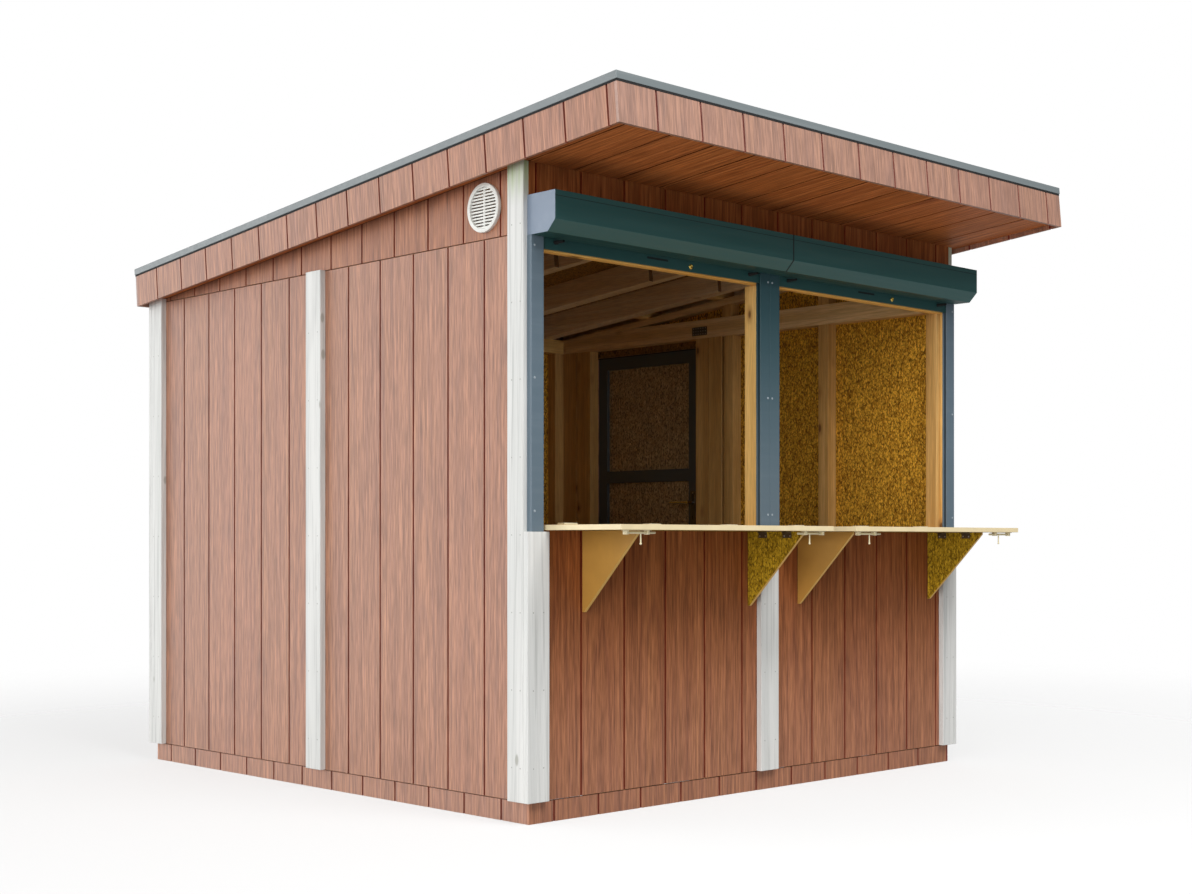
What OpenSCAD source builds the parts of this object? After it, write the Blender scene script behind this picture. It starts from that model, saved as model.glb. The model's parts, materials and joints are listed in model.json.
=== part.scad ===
// Wooden market hut with a lean-to roof, two serving openings and fold-up counters

/* [Overall] */
// Width across the corner boards
hut_w = 2408; // [2250:1:2700]
// Depth across the corner boards
hut_d = 2552; // [2400:1:2900]
// Height of the rear eaves above the ground
eaves_h = 1988; // [1970:1:2150]
// Roof pitch, rising towards the front
pitch = 5.25; // [4:0.25:8]

/* [Floor and skirt] */
// Height of the cladding's lower edge above the ground
base_h = 75; // [60:1:110]
// Thickness of the floor deck
deck_t = 18; // [12:1:28]
// Width of a floor bearer
bearer_w = 58; // [40:1:100]
// Number of floor bearers
bearer_count = 5; // [3:1:7]
// How far the skirt sits behind the cladding face
skirt_inset = 3; // [0:0.5:10]
// Shadow gap between cladding pieces that lie edge to edge
shadow_gap = 3; // [1:0.5:8]

/* [Cladding] */
// Thickness of a cladding panel
panel_t = 12; // [10:0.5:20]
// Distance between the grooves of a panel
groove_pitch = 203.2; // [150:0.1:260]
// Width of a groove
groove_w = 8; // [4:0.5:14]
// Depth of a groove
groove_depth = 5; // [2:0.5:8]
// Where the two front panels meet, right of the middle
front_joint_x = 71; // [-120:1:120]
// Groove offset of the gable and the side skirts
side_trim_shift = 116; // [0:1:203]
// Groove offset of the end skirts
end_trim_shift = 154; // [0:1:203]
// Groove offset of the end fascias
end_fascia_shift = 137; // [0:1:203]
// Groove offset of the side fascias
side_fascia_shift = 100; // [0:1:203]
// Groove offset of the soffit
soffit_shift = 41; // [0:1:203]
// How far the foot of the gable lies below the rear eaves
gable_line_drop = 2; // [1:1:30]

/* [White boards] */
// Thickness of the white boards
board_t = 24; // [18:1:32]
// Width of a corner board on a side wall
side_board_w = 84; // [60:1:120]
// Width of a corner board on the front and back
end_board_w = 95; // [60:1:130]
// Width of a middle batten
batten_w = 100; // [70:1:140]

/* [Frame] */
// Width of a stud
stud_w = 58; // [40:1:75]
// Depth of the wall frame
stud_d = 58; // [45:1:90]
// Height of a bottom plate
plate_h = 45; // [35:1:60]
// How far the underside of the top plates lies below the rear eaves
top_plate_drop = 52; // [40:1:80]
// Clearance between a sloping cut and the piece above it
seat_gap = 0.2; // [0.1:0.1:0.6]
// Depth of the side top plates
top_plate_d = 91; // [70:1:110]
// Distance between the studs of the side walls
stud_pitch = 604; // [450:1:620]
// Depth of the sloping gable rail
gable_rail_d = 32; // [25:1:75]

/* [Serving openings] */
// Height of the counter top
counter_h = 1004; // [900:1:1100]
// Thickness of the sill board and the counter flaps
flap_t = 18; // [15:1:28]
// Height of the sill beam
sill_beam_h = 58; // [45:1:90]
// How far the underside of the header beam lies below the rear eaves
header_drop = 61; // [50:1:140]
// Height of the header beam
header_beam_h = 63; // [50:1:120]
// Width of the rebate along the inner lower edge of the header beam
header_rebate_w = 33; // [20:1:40]
// Height of the rebate along the inner lower edge of the header beam
header_rebate_h = 13; // [8:1:20]
// Width of the mullion between the openings
mullion_w = 84; // [60:1:100]
// Depth of the front top plate
front_plate_h = 80; // [60:1:110]

/* [Roller shutters] */
// How far the shutters reach past the cladding corner
shutter_lap = 8; // [0:1:14]
// Height of the shutter boxes above the underside of the header beam
box_lift = 43; // [30:1:80]
// Width of a guide rail
rail_w = 54; // [50:1:70]
// Depth of a guide rail
rail_d = 24; // [20:1:32]
// Width of the slot in a guide rail
rail_slot_w = 12; // [10:0.5:14]
// Depth of the slot in a guide rail
rail_slot_d = 40; // [25:1:45]
// Height of a shutter box
box_h = 135; // [110:1:160]
// Depth of a shutter box
box_d = 143; // [110:1:170]
// Slope cut off the lower front edge of a box
box_chamfer = 38; // [20:1:60]
// Height of the end slat that shows under a box
end_slat_h = 39; // [30:1:55]
// Thickness of the end slat
end_slat_t = 9; // [7:0.5:9.5]
// Hairline gap between shutter pieces
shutter_gap = 0.5; // [0.3:0.1:2]

/* [Counter] */
// Depth of a counter flap
flap_d = 388; // [340:1:480]
// Gap between a flap and the guide rails
flap_side_gap = 10; // [6:1:14]
// Gap between a flap and the wall
flap_rear_gap = 5; // [5:0.5:12]
// Radius of the counter hinge knuckles
hinge_r = 4; // [3:0.5:6]
// Length of a counter hinge knuckle
hinge_l = 60; // [40:1:100]
// Places of the hinges along a flap, as shares of its length
hinge_shares = [0.12, 0.5, 0.88]; // [0:0.01:1]
// Set of a hinge leaf behind the face of the cladding
hinge_leaf_set = 5; // [4:1:10]
// Depth of a hinge leaf on the sill
hinge_leaf_d = 25; // [20:1:40]
// Height of a folding bracket
bracket_h = 280; // [220:1:320]
// Depth of a folding bracket
bracket_d = 275; // [220:1:320]
// Thickness of a folding bracket
bracket_t = 12; // [9:1:18]
// Blunt tip of a folding bracket
bracket_tip = 9; // [4:1:20]
// Distance of the left bracket under the left flap from the end of that flap
bracket_1_inset = 179; // [119:1:239]
// Distance of the right bracket under the left flap from the end of that flap
bracket_2_inset = 30; // [18:1:90]
// Distance of the left bracket under the right flap from the end of that flap
bracket_3_inset = 117; // [57:1:177]
// Distance of the right bracket under the right flap from the end of that flap
bracket_4_inset = 90; // [30:1:150]
// Radius of a bracket hinge barrel
bracket_hinge_r = 3; // [2:0.5:4]
// Gap between a bracket and the underside of its flap
bracket_gap = 0.5; // [0.3:0.1:2]
// Distance of a bracket hinge from the end of the bracket
bracket_hinge_inset = 55; // [30:1:90]
// Length of a bracket hinge barrel
bracket_hinge_l = 44; // [30:1:60]

/* [Slide bolts] */
// Diameter of a bolt rod
bolt_rod_d = 8; // [6:0.5:9]
// Length of a bolt rod
bolt_rod_l = 137; // [125:1:150]
// Length of the plate that holds the rod
bolt_plate_l = 105; // [95:1:115]
// Thickness of the plate
bolt_plate_t = 2; // [1.5:0.5:3]
// Length of a loop on the plate
bolt_loop_l = 10; // [8:1:14]
// Distance of the plate from the end of the flap
bolt_end = 36; // [30:1:60]
// Width of a loop
bolt_loop_w = 18; // [14:1:24]
// Height of a loop below the flap
bolt_loop_h = 15; // [14:1:20]
// Width of the plate
bolt_plate_w = 34; // [26:1:44]
// Distance of the rod below the flap
bolt_drop = 9; // [8:0.5:9]
// Distance of the bolt from the front edge of the flap
bolt_inset = 24; // [20:1:60]
// Distance of the knob from the outer end of the rod
bolt_knob_at = 72; // [68:1:84]
// Length of the knob stem
bolt_knob_l = 36; // [20:1:45]
// Diameter of the knob stem
bolt_knob_d = 5; // [4:0.5:6]
// Diameter of the knob ball
bolt_ball_d = 8; // [6:0.5:10]
// Play of the rod in its barrel
bolt_play = 0.4; // [0.3:0.1:1]

/* [Door] */
// Distance of the door leaf from the rear corner inside its wall
door_corner_w = 271; // [200:1:300]
// Distance of the door leaf behind the panel joint of its wall
door_from_joint = 252; // [230:1:300]
// Width of the door leaf
door_w = 717; // [640:1:720]
// How far the top of the door leaf lies below the rear eaves
door_head_drop = 93; // [85:1:140]
// Gap between the door leaf and the wall
door_gap = 6; // [5:0.5:10]
// How far the sheet of the door laps the wall above it and beside its lever
door_lap = 18; // [8:1:20]
// Gap under the door leaf
door_floor_gap = 7; // [5:0.5:15]
// Thickness of the door's inner frame
door_frame_t = 18; // [15:1:22]
// Width of the stiles and the rails of the door
door_stile_w = 61; // [45:1:80]
// Underside of the door's middle rail
door_mid_rail_z = 1249; // [1150:1:1300]
// Gap between the door leaf and the studs behind its edges
door_seat_gap = 1; // [0.5:0.5:4]
// Stand of the hinge axis in front of the door face
door_axis_stand = 4; // [2:0.5:8]
// Set of the hinge axis behind the edge of the doorway
door_axis_set = 1; // [0.5:0.5:4]
// Reveal between the door leaf and the studs in front of it
doorway_reveal = 45; // [20:1:60]
// Gap between the door studs and the stud in front of them
door_side_stud_gap = 17; // [5:1:40]
// Width of each of the two studs in front of the doorway
door_stud_front_w = 85; // [58:1:86]
// Width of the stud behind the doorway
door_stud_rear_w = 101; // [58:1:110]
// Gap between the rear door stud and the corner stud
door_rear_stud_gap = 6; // [3:1:20]
// Radius of a door hinge barrel
door_hinge_r = 5; // [4:0.5:7]
// Distance of the outer door hinges from the ends of the leaf
door_hinge_inset = 200; // [120:1:300]
// Length of a door hinge barrel
door_hinge_l = 90; // [60:1:120]
// Radius of a door hinge pin
door_pin_r = 2.5; // [2:0.5:3]
// Width of a hinge leaf on the door or the wall
hinge_leaf_w = 40; // [30:1:60]
// Thickness of a hinge leaf
hinge_leaf_t = 3; // [2:0.5:3.5]
// Running play between hinge knuckles
hinge_play = 0.3; // [0.2:0.1:1]
// Height of the lever
lever_z = 1142; // [1050:1:1200]
// Distance of the lever from the door's front edge
lever_inset = 30; // [25:1:30]
// Length of the lever
lever_l = 120; // [90:1:130]
// Diameter of the lever
lever_d = 16; // [12:1:20]
// Distance between the lever and the leaf
lever_reach = 40; // [32:1:44]
// Diameter of the spindle bore
spindle_bore_d = 17; // [14:0.5:21]
// Play around the lever's neck
spindle_play = 0.5; // [0.3:0.1:1]
// Width of a handle plate
handle_plate_w = 38; // [30:1:44]
// Height of a handle plate
handle_plate_h = 190; // [120:1:230]
// How far a handle plate reaches below the lever
handle_plate_drop = 133; // [95:1:150]
// Thickness of a handle plate
handle_plate_t = 4; // [3:0.5:8]

/* [Vent] */
// Diameter of the vent grille
vent_d = 169; // [120:1:180]
// Width of the vent's rim
vent_rim = 13; // [8:1:20]
// How far the vent stands out
vent_t = 12; // [8:1:18]
// Distance of the vent behind the front panel face
vent_from_front = 230; // [180:1:600]
// Number of vent slats
vent_slats = 13; // [7:1:17]
// Height of a slat as a share of the slat spacing
vent_slat_share = 0.55; // [0.4:0.05:0.7]

/* [Roof] */
// Roof overhang in front of the boards, along the slope
overhang_front = 501; // [300:1:700]
// Roof overhang behind the boards, along the slope
overhang_rear = 22; // [20:1:120]
// Roof overhang beside the boards
overhang_side = 48; // [30:1:120]
// Thickness of the soffit
soffit_t = 12; // [9:1:18]
// Depth of a rafter
rafter_d = 110; // [80:1:140]
// Width of a rafter
rafter_w = 45; // [35:1:60]
// Distance between the inner rafters
rafter_pitch = 565; // [500:1:600]
// How far the outermost inner rafters lie inside the edge rafters
outer_rafter_set = 202; // [150:1:260]
// Thickness of the boards beside the inner rafters
rafter_cheek_t = 25; // [18:1:35]
// Front end of the boards beside the inner rafters, along the slope
rafter_cheek_y = -80; // [-300:1:300]
// Places of the noggin rows, along the slope
noggin_rows = [48, 553]; // [-1000:1:1000]
// Thickness of the roof deck
roof_deck_t = 18; // [12:1:24]
// Thickness of the roof covering
covering_t = 3; // [2:0.5:8]
// How far the fascia hangs below the soffit
fascia_drop = 18; // [10:1:40]
// Thickness of the metal edge trim
trim_t = 3; // [2:0.5:6]
// Width of the trim on top of the roof
trim_flange = 60; // [40:1:90]
// How far the trim reaches below the deck
trim_lap = 2; // [1:0.5:10]

/* [Hidden] */
$fn = 32;

half_w = hut_w / 2;
half_d = hut_d / 2;
wall_x = half_w - board_t;
wall_y = half_d - board_t;
inner_x = wall_x - panel_t;
inner_y = wall_y - panel_t;
floor_h = base_h + deck_t;
room_x = inner_x - stud_d;
room_y = inner_y - stud_d;
skirt_x = wall_x - skirt_inset;
skirt_y = wall_y - skirt_inset;
roof_z = eaves_h + half_d * tan(pitch);
gable_line_h = eaves_h - gable_line_drop;
top_plate_h = eaves_h - top_plate_drop;
top_plate_top = top_plate_h + top_plate_d;
header_h = eaves_h - header_drop;
header_top = header_h + header_beam_h;
door_y1 = inner_y - door_corner_w;
door_y0 = door_y1 - door_w;
side_joint_y = door_y0 - door_from_joint;
door_top = eaves_h - door_head_drop;
doorway_y0 = door_y0 - doorway_reveal;
doorway_y1 = door_y1 + door_gap;
door_corner_stud_y = doorway_y1 + door_stud_rear_w + door_rear_stud_gap;
vent_y = vent_from_front - wall_y;
vent_z = (gable_line_h + under(vent_y)) / 2;
shutter_w = wall_x + shutter_lap;
sill_z = counter_h - flap_t;
door_x = inner_x + door_seat_gap;
door_frame_face = door_x + door_frame_t;
door_face = door_frame_face + panel_t;
lever_y = door_y0 + lever_inset;
door_axis_x = door_face + door_axis_stand;
door_axis_y = doorway_y1 + door_axis_set;
axis_y = -wall_y - flap_rear_gap / 2;
axis_z = counter_h + hinge_r;
flap_y1 = -wall_y - flap_rear_gap;
flap_y0 = flap_y1 - flap_d;
bolt_y = flap_y0 + bolt_inset;
bolt_z = sill_z - bolt_drop;
rail_slot_y = -wall_y - rail_d / 2;
rail_z0 = sill_z - flap_rear_gap;
box_z0 = header_h + box_lift;
shutter_x = [-shutter_w, 0, shutter_w];
mullion_x0 = shutter_x[1] - mullion_w / 2;
mullion_x1 = shutter_x[1] + mullion_w / 2;
flap_x = [
    [shutter_x[0] + rail_w + flap_side_gap, shutter_x[1] - rail_w - flap_side_gap],
    [shutter_x[1] + rail_w + flap_side_gap, shutter_x[2] - rail_w - flap_side_gap]
];
bracket_x = [flap_x[0][0] + bracket_1_inset, flap_x[0][1] - bracket_2_inset,
             flap_x[1][0] + bracket_3_inset, flap_x[1][1] - bracket_4_inset];
bracket_side = [1, -1, 1, -1];
bracket_axis = bracket_hinge_r + bracket_gap;
rafter_h0 = soffit_t;
deck_h0 = rafter_h0 + rafter_d;
covering_h0 = deck_h0 + roof_deck_t;
trim_h0 = covering_h0 + covering_t;
roof_x = half_w + overhang_side;
roof_y0 = -half_d - overhang_front;
roof_y1 = half_d + overhang_rear;
fascia_x = roof_x - panel_t;
outer_rafter_x = fascia_x - rafter_w / 2 - outer_rafter_set;
fascia_y0 = roof_y0 + panel_t;
fascia_y1 = roof_y1 - panel_t;
front_plate_z = rafter_under(-room_y) - front_plate_h;
fascia_cut_h = 3 * (fascia_drop + deck_h0);
soffit_wall_y = -(inner_y + soffit_t * sin(pitch)) / cos(pitch);
door_z0 = floor_h + door_floor_gap;
door_hinge_places = [door_z0 + door_hinge_inset, (door_z0 + door_top) / 2, door_top - door_hinge_inset];
bolt_x = [flap_x[0][0] + bolt_end, flap_x[0][1] - bolt_end,
          flap_x[1][0] + bolt_end, flap_x[1][1] - bolt_end];
bolt_side = [-1, 1, -1, 1];
cladding_color = [0.62, 0.38, 0.31];
white_color = [0.9, 0.9, 0.87];
pine_color = [0.82, 0.63, 0.4];
strand_color = [0.66, 0.5, 0.24];
shutter_color = [0.16, 0.26, 0.29];
steel_color = [0.6, 0.62, 0.63];
dark_color = [0.16, 0.17, 0.18];
cream_color = [0.93, 0.88, 0.72];

// Height of the underside of the roof at a place y
function under(y) = eaves_h + (half_d - y) * tan(pitch);
// Height of the sloping top of a wall at a place y
function wall_top(y) = under(y) - seat_gap;
// Height of the framing under the rafters at a place y
function rafter_under(y) = wall_top(y) + soffit_t / cos(pitch);
// Place where the framing under the rafters has a height z
function rafter_meet(z) = half_d - (z - rafter_under(half_d)) / tan(pitch);
// Groove places between two limits, clear of both ends
function grooves(from, to, shift) = [
    for (k = [ceil((from - shift) / groove_pitch) : floor((to - shift) / groove_pitch)])
        let (g = shift + k * groove_pitch)
        if (g > from + groove_w && g < to - groove_w) g
];

// A box between its lowest and highest corners
module block(low, high) {
    translate(low)
        cube(high - low);
}

// A profile drawn across the depth and height, run along the width
module along_x(x0, x1) {
    translate([x0, 0, 0])
        rotate([90, 0, 90])
            linear_extrude(x1 - x0)
                children();
}

// Pieces drawn in the plane of the sloping roof
module on_roof() {
    translate([0, 0, roof_z])
        rotate([-pitch, 0, 0])
            children();
}

// A cladding panel on a side wall, with its grooves on the outer face
module side_panel(side, y0, y1, outline, face, shift) {
    x0 = side > 0 ? face - panel_t : -face;
    cut = side > 0 ? face - groove_depth : -face - 1;
    difference() {
        along_x(x0, x0 + panel_t)
            polygon(outline);
        for (g = grooves(y0, y1, shift))
            translate([cut, g - groove_w / 2, 0])
                cube([groove_depth + 1, groove_w, 3 * eaves_h]);
    }
}

// A rectangle across the depth and height
function side_rectangle(y0, y1, z0, z1) = [[y0, z0], [y1, z0], [y1, z1], [y0, z1]];

// A cladding panel on the front or back, with its grooves on the outer face
module end_panel(side, x0, x1, z0, z_outer, z_inner, face, shift) {
    outer = side * face;
    inner = side * (face - panel_t);
    difference() {
        along_x(x0, x1)
            polygon([[outer, z0], [inner, z0], [inner, z_inner], [outer, z_outer]]);
        for (g = grooves(x0, x1, shift))
            translate([g - groove_w / 2, outer - (side > 0 ? groove_depth : 1), 0])
                cube([groove_w, groove_depth + 1, 3 * eaves_h]);
    }
}

module floor_bearers() {
    reach = skirt_x - panel_t - bearer_w / 2;
    step = 2 * reach / (bearer_count - 1);
    color(pine_color)
        for (k = [0 : bearer_count - 1])
            translate([-reach + k * step - bearer_w / 2, -skirt_y + panel_t, 0])
                cube([bearer_w, 2 * (skirt_y - panel_t), base_h]);
}

module floor_deck() {
    color(strand_color)
        block([-inner_x, -inner_y, base_h], [inner_x, inner_y, floor_h]);
}

module skirt_ends() {
    top = base_h - shadow_gap;
    color(cladding_color)
        for (side = [-1, 1])
            end_panel(side, -skirt_x, skirt_x, 0, top, top, skirt_y, end_trim_shift);
}

module skirt_sides() {
    reach = skirt_y - panel_t;
    color(cladding_color)
        for (side = [-1, 1])
            side_panel(side, -reach, reach, side_rectangle(-reach, reach, 0, base_h - shadow_gap),
                       skirt_x, side_joint_y + side_trim_shift);
}

// A plain stretch of side cladding below the gable line
module side_stretch(side, y0, y1, z0) {
    side_panel(side, y0, y1, side_rectangle(y0, y1, z0, gable_line_h - shadow_gap), wall_x, side_joint_y);
}

module left_wall() {
    color(cladding_color) {
        side_stretch(-1, -inner_y, side_joint_y - shadow_gap / 2, base_h);
        side_stretch(-1, side_joint_y + shadow_gap / 2, inner_y, base_h);
    }
}

module right_wall_front() {
    color(cladding_color) {
        side_stretch(1, -inner_y, side_joint_y - shadow_gap / 2, base_h);
        side_stretch(1, side_joint_y + shadow_gap / 2, door_y0 - door_gap, base_h);
    }
}

module right_wall_rear() {
    color(cladding_color)
        side_stretch(1, door_y1 + door_gap, inner_y, base_h);
}

module right_wall_over_door() {
    color(cladding_color)
        side_stretch(1, door_y0 - door_gap, door_y1 + door_gap, door_top + door_gap);
}

module back_wall() {
    color(cladding_color) {
        end_panel(1, -wall_x, -shadow_gap / 2, base_h, wall_top(wall_y), wall_top(inner_y), wall_y, 0);
        end_panel(1, shadow_gap / 2, wall_x, base_h, wall_top(wall_y), wall_top(inner_y), wall_y, 0);
    }
}

module front_apron() {
    color(cladding_color) {
        end_panel(-1, -wall_x, front_joint_x - shadow_gap / 2, base_h,
                  sill_z, sill_z, wall_y, front_joint_x);
        end_panel(-1, front_joint_x + shadow_gap / 2, wall_x, base_h,
                  sill_z, sill_z, wall_y, front_joint_x);
    }
}

module front_header() {
    color(cladding_color) {
        end_panel(-1, -wall_x, front_joint_x - shadow_gap / 2, header_top,
                  wall_top(-wall_y), wall_top(-inner_y), wall_y, front_joint_x);
        end_panel(-1, front_joint_x + shadow_gap / 2, wall_x, header_top,
                  wall_top(-wall_y), wall_top(-inner_y), wall_y, front_joint_x);
    }
}

module gable_panels() {
    outline = [
        [-inner_y, gable_line_h], [inner_y, gable_line_h],
        [inner_y, wall_top(inner_y)], [-inner_y, wall_top(-inner_y)]
    ];
    color(cladding_color) {
        difference() {
            side_panel(-1, -inner_y, inner_y, outline, wall_x, side_joint_y + side_trim_shift);
            translate([-wall_x - 1, vent_y, vent_z])
                rotate([0, 90, 0])
                    cylinder(d = vent_d - 2 * vent_rim, h = panel_t + 2);
        }
        side_panel(1, -inner_y, inner_y, outline, wall_x, side_joint_y + side_trim_shift);
    }
}

module side_boards() {
    color(white_color)
        for (x0 = [-half_w, wall_x]) {
            for (y0 = [-wall_y, wall_y - side_board_w])
                along_x(x0, x0 + board_t)
                    polygon([[y0, base_h], [y0 + side_board_w, base_h],
                             [y0 + side_board_w, wall_top(y0 + side_board_w)], [y0, wall_top(y0)]]);
            block([x0, side_joint_y - batten_w / 2, base_h],
                  [x0 + board_t, side_joint_y + batten_w / 2, gable_line_h]);
        }
}

module front_boards() {
    color(white_color) {
        block([-half_w, -half_d, base_h], [-half_w + end_board_w, -wall_y, rail_z0]);
        block([-batten_w / 2, -half_d, base_h], [batten_w / 2, -wall_y, rail_z0]);
        block([half_w - end_board_w, -half_d, base_h], [half_w, -wall_y, rail_z0]);
    }
}

module back_boards() {
    color(white_color)
        for (x = [[-half_w, end_board_w - half_w], [-batten_w / 2, batten_w / 2],
                  [half_w - end_board_w, half_w]])
            along_x(x[0], x[1])
                polygon([[wall_y, base_h], [half_d, base_h],
                         [half_d, wall_top(half_d)], [wall_y, wall_top(wall_y)]]);
}

// A stud of a side wall between two places along the depth
module side_stud(side, y0, y1) {
    x0 = side > 0 ? room_x : -inner_x;
    block([x0, y0, floor_h + plate_h], [x0 + stud_d, y1, top_plate_h]);
}

// A short stud between the top plate and the gable rail
module gable_stud(side, y0) {
    x0 = side > 0 ? room_x : -inner_x;
    drop = gable_rail_d / cos(pitch) + seat_gap;
    along_x(x0, x0 + stud_d)
        polygon([[y0, top_plate_top], [y0 + stud_w, top_plate_top],
                 [y0 + stud_w, rafter_under(y0 + stud_w) - drop], [y0, rafter_under(y0) - drop]]);
}

module side_wall_studs() {
    front_stud_y = side_joint_y - stud_pitch - stud_w / 2;
    door_pair_y = doorway_y0 - 2 * door_stud_front_w - shadow_gap;
    color(pine_color) {
        for (side = [-1, 1]) {
            side_stud(side, -inner_y, stud_w - inner_y);
            side_stud(side, side > 0 ? door_corner_stud_y : inner_y - stud_w, inner_y);
            side_stud(side, front_stud_y, front_stud_y + stud_w);
            gable_stud(side, -inner_y);
            gable_stud(side, front_stud_y);
            gable_stud(side, side_joint_y - stud_w / 2);
        }
        side_stud(-1, side_joint_y - stud_w / 2, side_joint_y + stud_w / 2);
        side_stud(-1, side_joint_y + stud_pitch - stud_w / 2, side_joint_y + stud_pitch + stud_w / 2);
        side_stud(1, doorway_y0 - door_stud_front_w, doorway_y0);
        side_stud(1, door_pair_y, door_pair_y + door_stud_front_w);
        side_stud(1, door_pair_y - door_side_stud_gap - stud_w, door_pair_y - door_side_stud_gap);
        side_stud(1, doorway_y1, doorway_y1 + door_stud_rear_w);
    }
}

// The top plate of a side wall, cut back under the rafters
module side_top_plate(x0) {
    low = [inner_y, top_plate_h];
    cut_y = rafter_meet(top_plate_top);
    along_x(x0, x0 + stud_d)
        polygon([[-inner_y, top_plate_h], low, [inner_y, rafter_under(inner_y)],
                 [cut_y, top_plate_top], [-inner_y, top_plate_top]]);
}

module side_wall_plates() {
    z1 = floor_h + plate_h;
    color(pine_color) {
        side_top_plate(-inner_x);
        side_top_plate(room_x);
        block([-inner_x, -inner_y, floor_h], [-room_x, inner_y, z1]);
        block([room_x, -inner_y, floor_h], [inner_x, doorway_y0, z1]);
        block([room_x, doorway_y1, floor_h], [inner_x, inner_y, z1]);
    }
}

module gable_rails() {
    drop = gable_rail_d / cos(pitch);
    end_y = rafter_meet(top_plate_top);
    low_y = end_y - drop / tan(pitch);
    color(pine_color)
        for (x0 = [-inner_x, room_x])
            along_x(x0, x0 + stud_d)
                polygon([[-inner_y, rafter_under(-inner_y) - drop], [low_y, top_plate_top],
                         [end_y, top_plate_top], [-inner_y, rafter_under(-inner_y)]]);
}

// Stud places along the front and back walls
function end_stud_places() = [for (k = [-2 : 2]) k * (room_x - stud_w / 2) / 2];

module back_wall_studs() {
    color(pine_color)
        for (x = end_stud_places())
            block([x - stud_w / 2, room_y, floor_h + plate_h], [x + stud_w / 2, inner_y, top_plate_h]);
}

module back_wall_plates() {
    color(pine_color) {
        block([-room_x, room_y, floor_h], [room_x, inner_y, floor_h + plate_h]);
        along_x(-room_x, room_x)
            polygon([[room_y, top_plate_h], [inner_y, top_plate_h],
                     [inner_y, rafter_under(inner_y)], [room_y, rafter_under(room_y)]]);
    }
}

module front_wall_studs() {
    color(pine_color)
        for (x = end_stud_places()) {
            block([x - stud_w / 2, -inner_y, floor_h + plate_h],
                  [x + stud_w / 2, -room_y, sill_z - sill_beam_h]);
            block([x - stud_w / 2, -inner_y, header_top], [x + stud_w / 2, -room_y, front_plate_z]);
        }
}

module front_wall_beams() {
    color(pine_color) {
        block([-room_x, -inner_y, floor_h], [room_x, -room_y, floor_h + plate_h]);
        block([-room_x, -inner_y, sill_z - sill_beam_h], [room_x, -room_y, sill_z]);
        along_x(-room_x, room_x)
            polygon([[-inner_y, front_plate_z], [-room_y, front_plate_z],
                     [-room_y, rafter_under(-room_y)], [-inner_y, rafter_under(-inner_y)]]);
    }
}

module header_beam() {
    color(pine_color)
        difference() {
            union() {
                block([shutter_x[0] + rail_w, -wall_y, header_h],
                      [shutter_x[2] - rail_w, -inner_y, header_top]);
                block([-room_x, -inner_y, header_h], [room_x, -room_y, header_top]);
            }
            block([-wall_x, -room_y - header_rebate_w, header_h - 1],
                  [wall_x, 1 - room_y, header_h + header_rebate_h]);
        }
}

module mullion() {
    color(pine_color)
        block([mullion_x0, -wall_y, sill_z], [mullion_x1, -room_y, header_h]);
}

module jamb_linings() {
    color(pine_color) {
        block([-wall_x, -wall_y, sill_z], [shutter_x[0] + rail_w, -inner_y, header_top]);
        block([shutter_x[2] - rail_w, -wall_y, sill_z], [wall_x, -inner_y, header_top]);
    }
}

module sill_boards() {
    color(pine_color) {
        block([shutter_x[0] + rail_w, -wall_y, sill_z], [mullion_x0, -inner_y, counter_h]);
        block([-room_x, -inner_y, sill_z], [mullion_x0, -room_y, counter_h]);
        block([mullion_x1, -wall_y, sill_z], [shutter_x[2] - rail_w, -inner_y, counter_h]);
        block([mullion_x1, -inner_y, sill_z], [room_x, -room_y, counter_h]);
    }
}

// Places of the inner rafters across the width
function inner_rafters() = [-outer_rafter_x, -rafter_pitch, 0, rafter_pitch, outer_rafter_x];

module rafters() {
    edge_x = fascia_x - rafter_w / 2;
    color(pine_color)
        on_roof() {
            for (x = concat([-edge_x], inner_rafters(), [edge_x]))
                block([x - rafter_w / 2, fascia_y0, rafter_h0], [x + rafter_w / 2, fascia_y1, deck_h0]);
            for (x = inner_rafters())
                block([x - rafter_w / 2 - seat_gap - rafter_cheek_t, rafter_cheek_y, rafter_h0],
                      [x - rafter_w / 2 - seat_gap, fascia_y1, deck_h0]);
        }
}

module noggins() {
    edge_x = fascia_x - rafter_w;
    h = rafter_w / 2;
    left_end = -outer_rafter_x - h - seat_gap - rafter_cheek_t;
    color(pine_color)
        on_roof()
            for (y = noggin_rows)
                for (x = [[-edge_x, left_end], [outer_rafter_x + h, edge_x]])
                    block([x[0], y - h, rafter_h0], [x[1], y + h, deck_h0]);
}

module roof_deck() {
    color(strand_color)
        on_roof()
            block([-roof_x, roof_y0, deck_h0], [roof_x, roof_y1, covering_h0]);
}

module roof_covering() {
    color(dark_color)
        on_roof()
            block([-roof_x, roof_y0, covering_h0], [roof_x, roof_y1, trim_h0]);
}

// A grooved fascia board in the plane of the roof
module fascia(low, high, along, faces) {
    difference() {
        block(low, high);
        for (g = along)
            translate(g - faces / 2)
                cube(faces);
    }
}

module fascia_ends() {
    cut = [groove_w, 2 * groove_depth, fascia_cut_h];
    places = grooves(-roof_x, roof_x, end_fascia_shift);
    color(cladding_color)
        on_roof() {
            fascia([-roof_x, roof_y0, -fascia_drop], [roof_x, fascia_y0, deck_h0],
                   [for (x = places) [x, roof_y0, 0]], cut);
            fascia([-roof_x, fascia_y1, -fascia_drop], [roof_x, roof_y1, deck_h0],
                   [for (x = places) [x, roof_y1, 0]], cut);
        }
}

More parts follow.
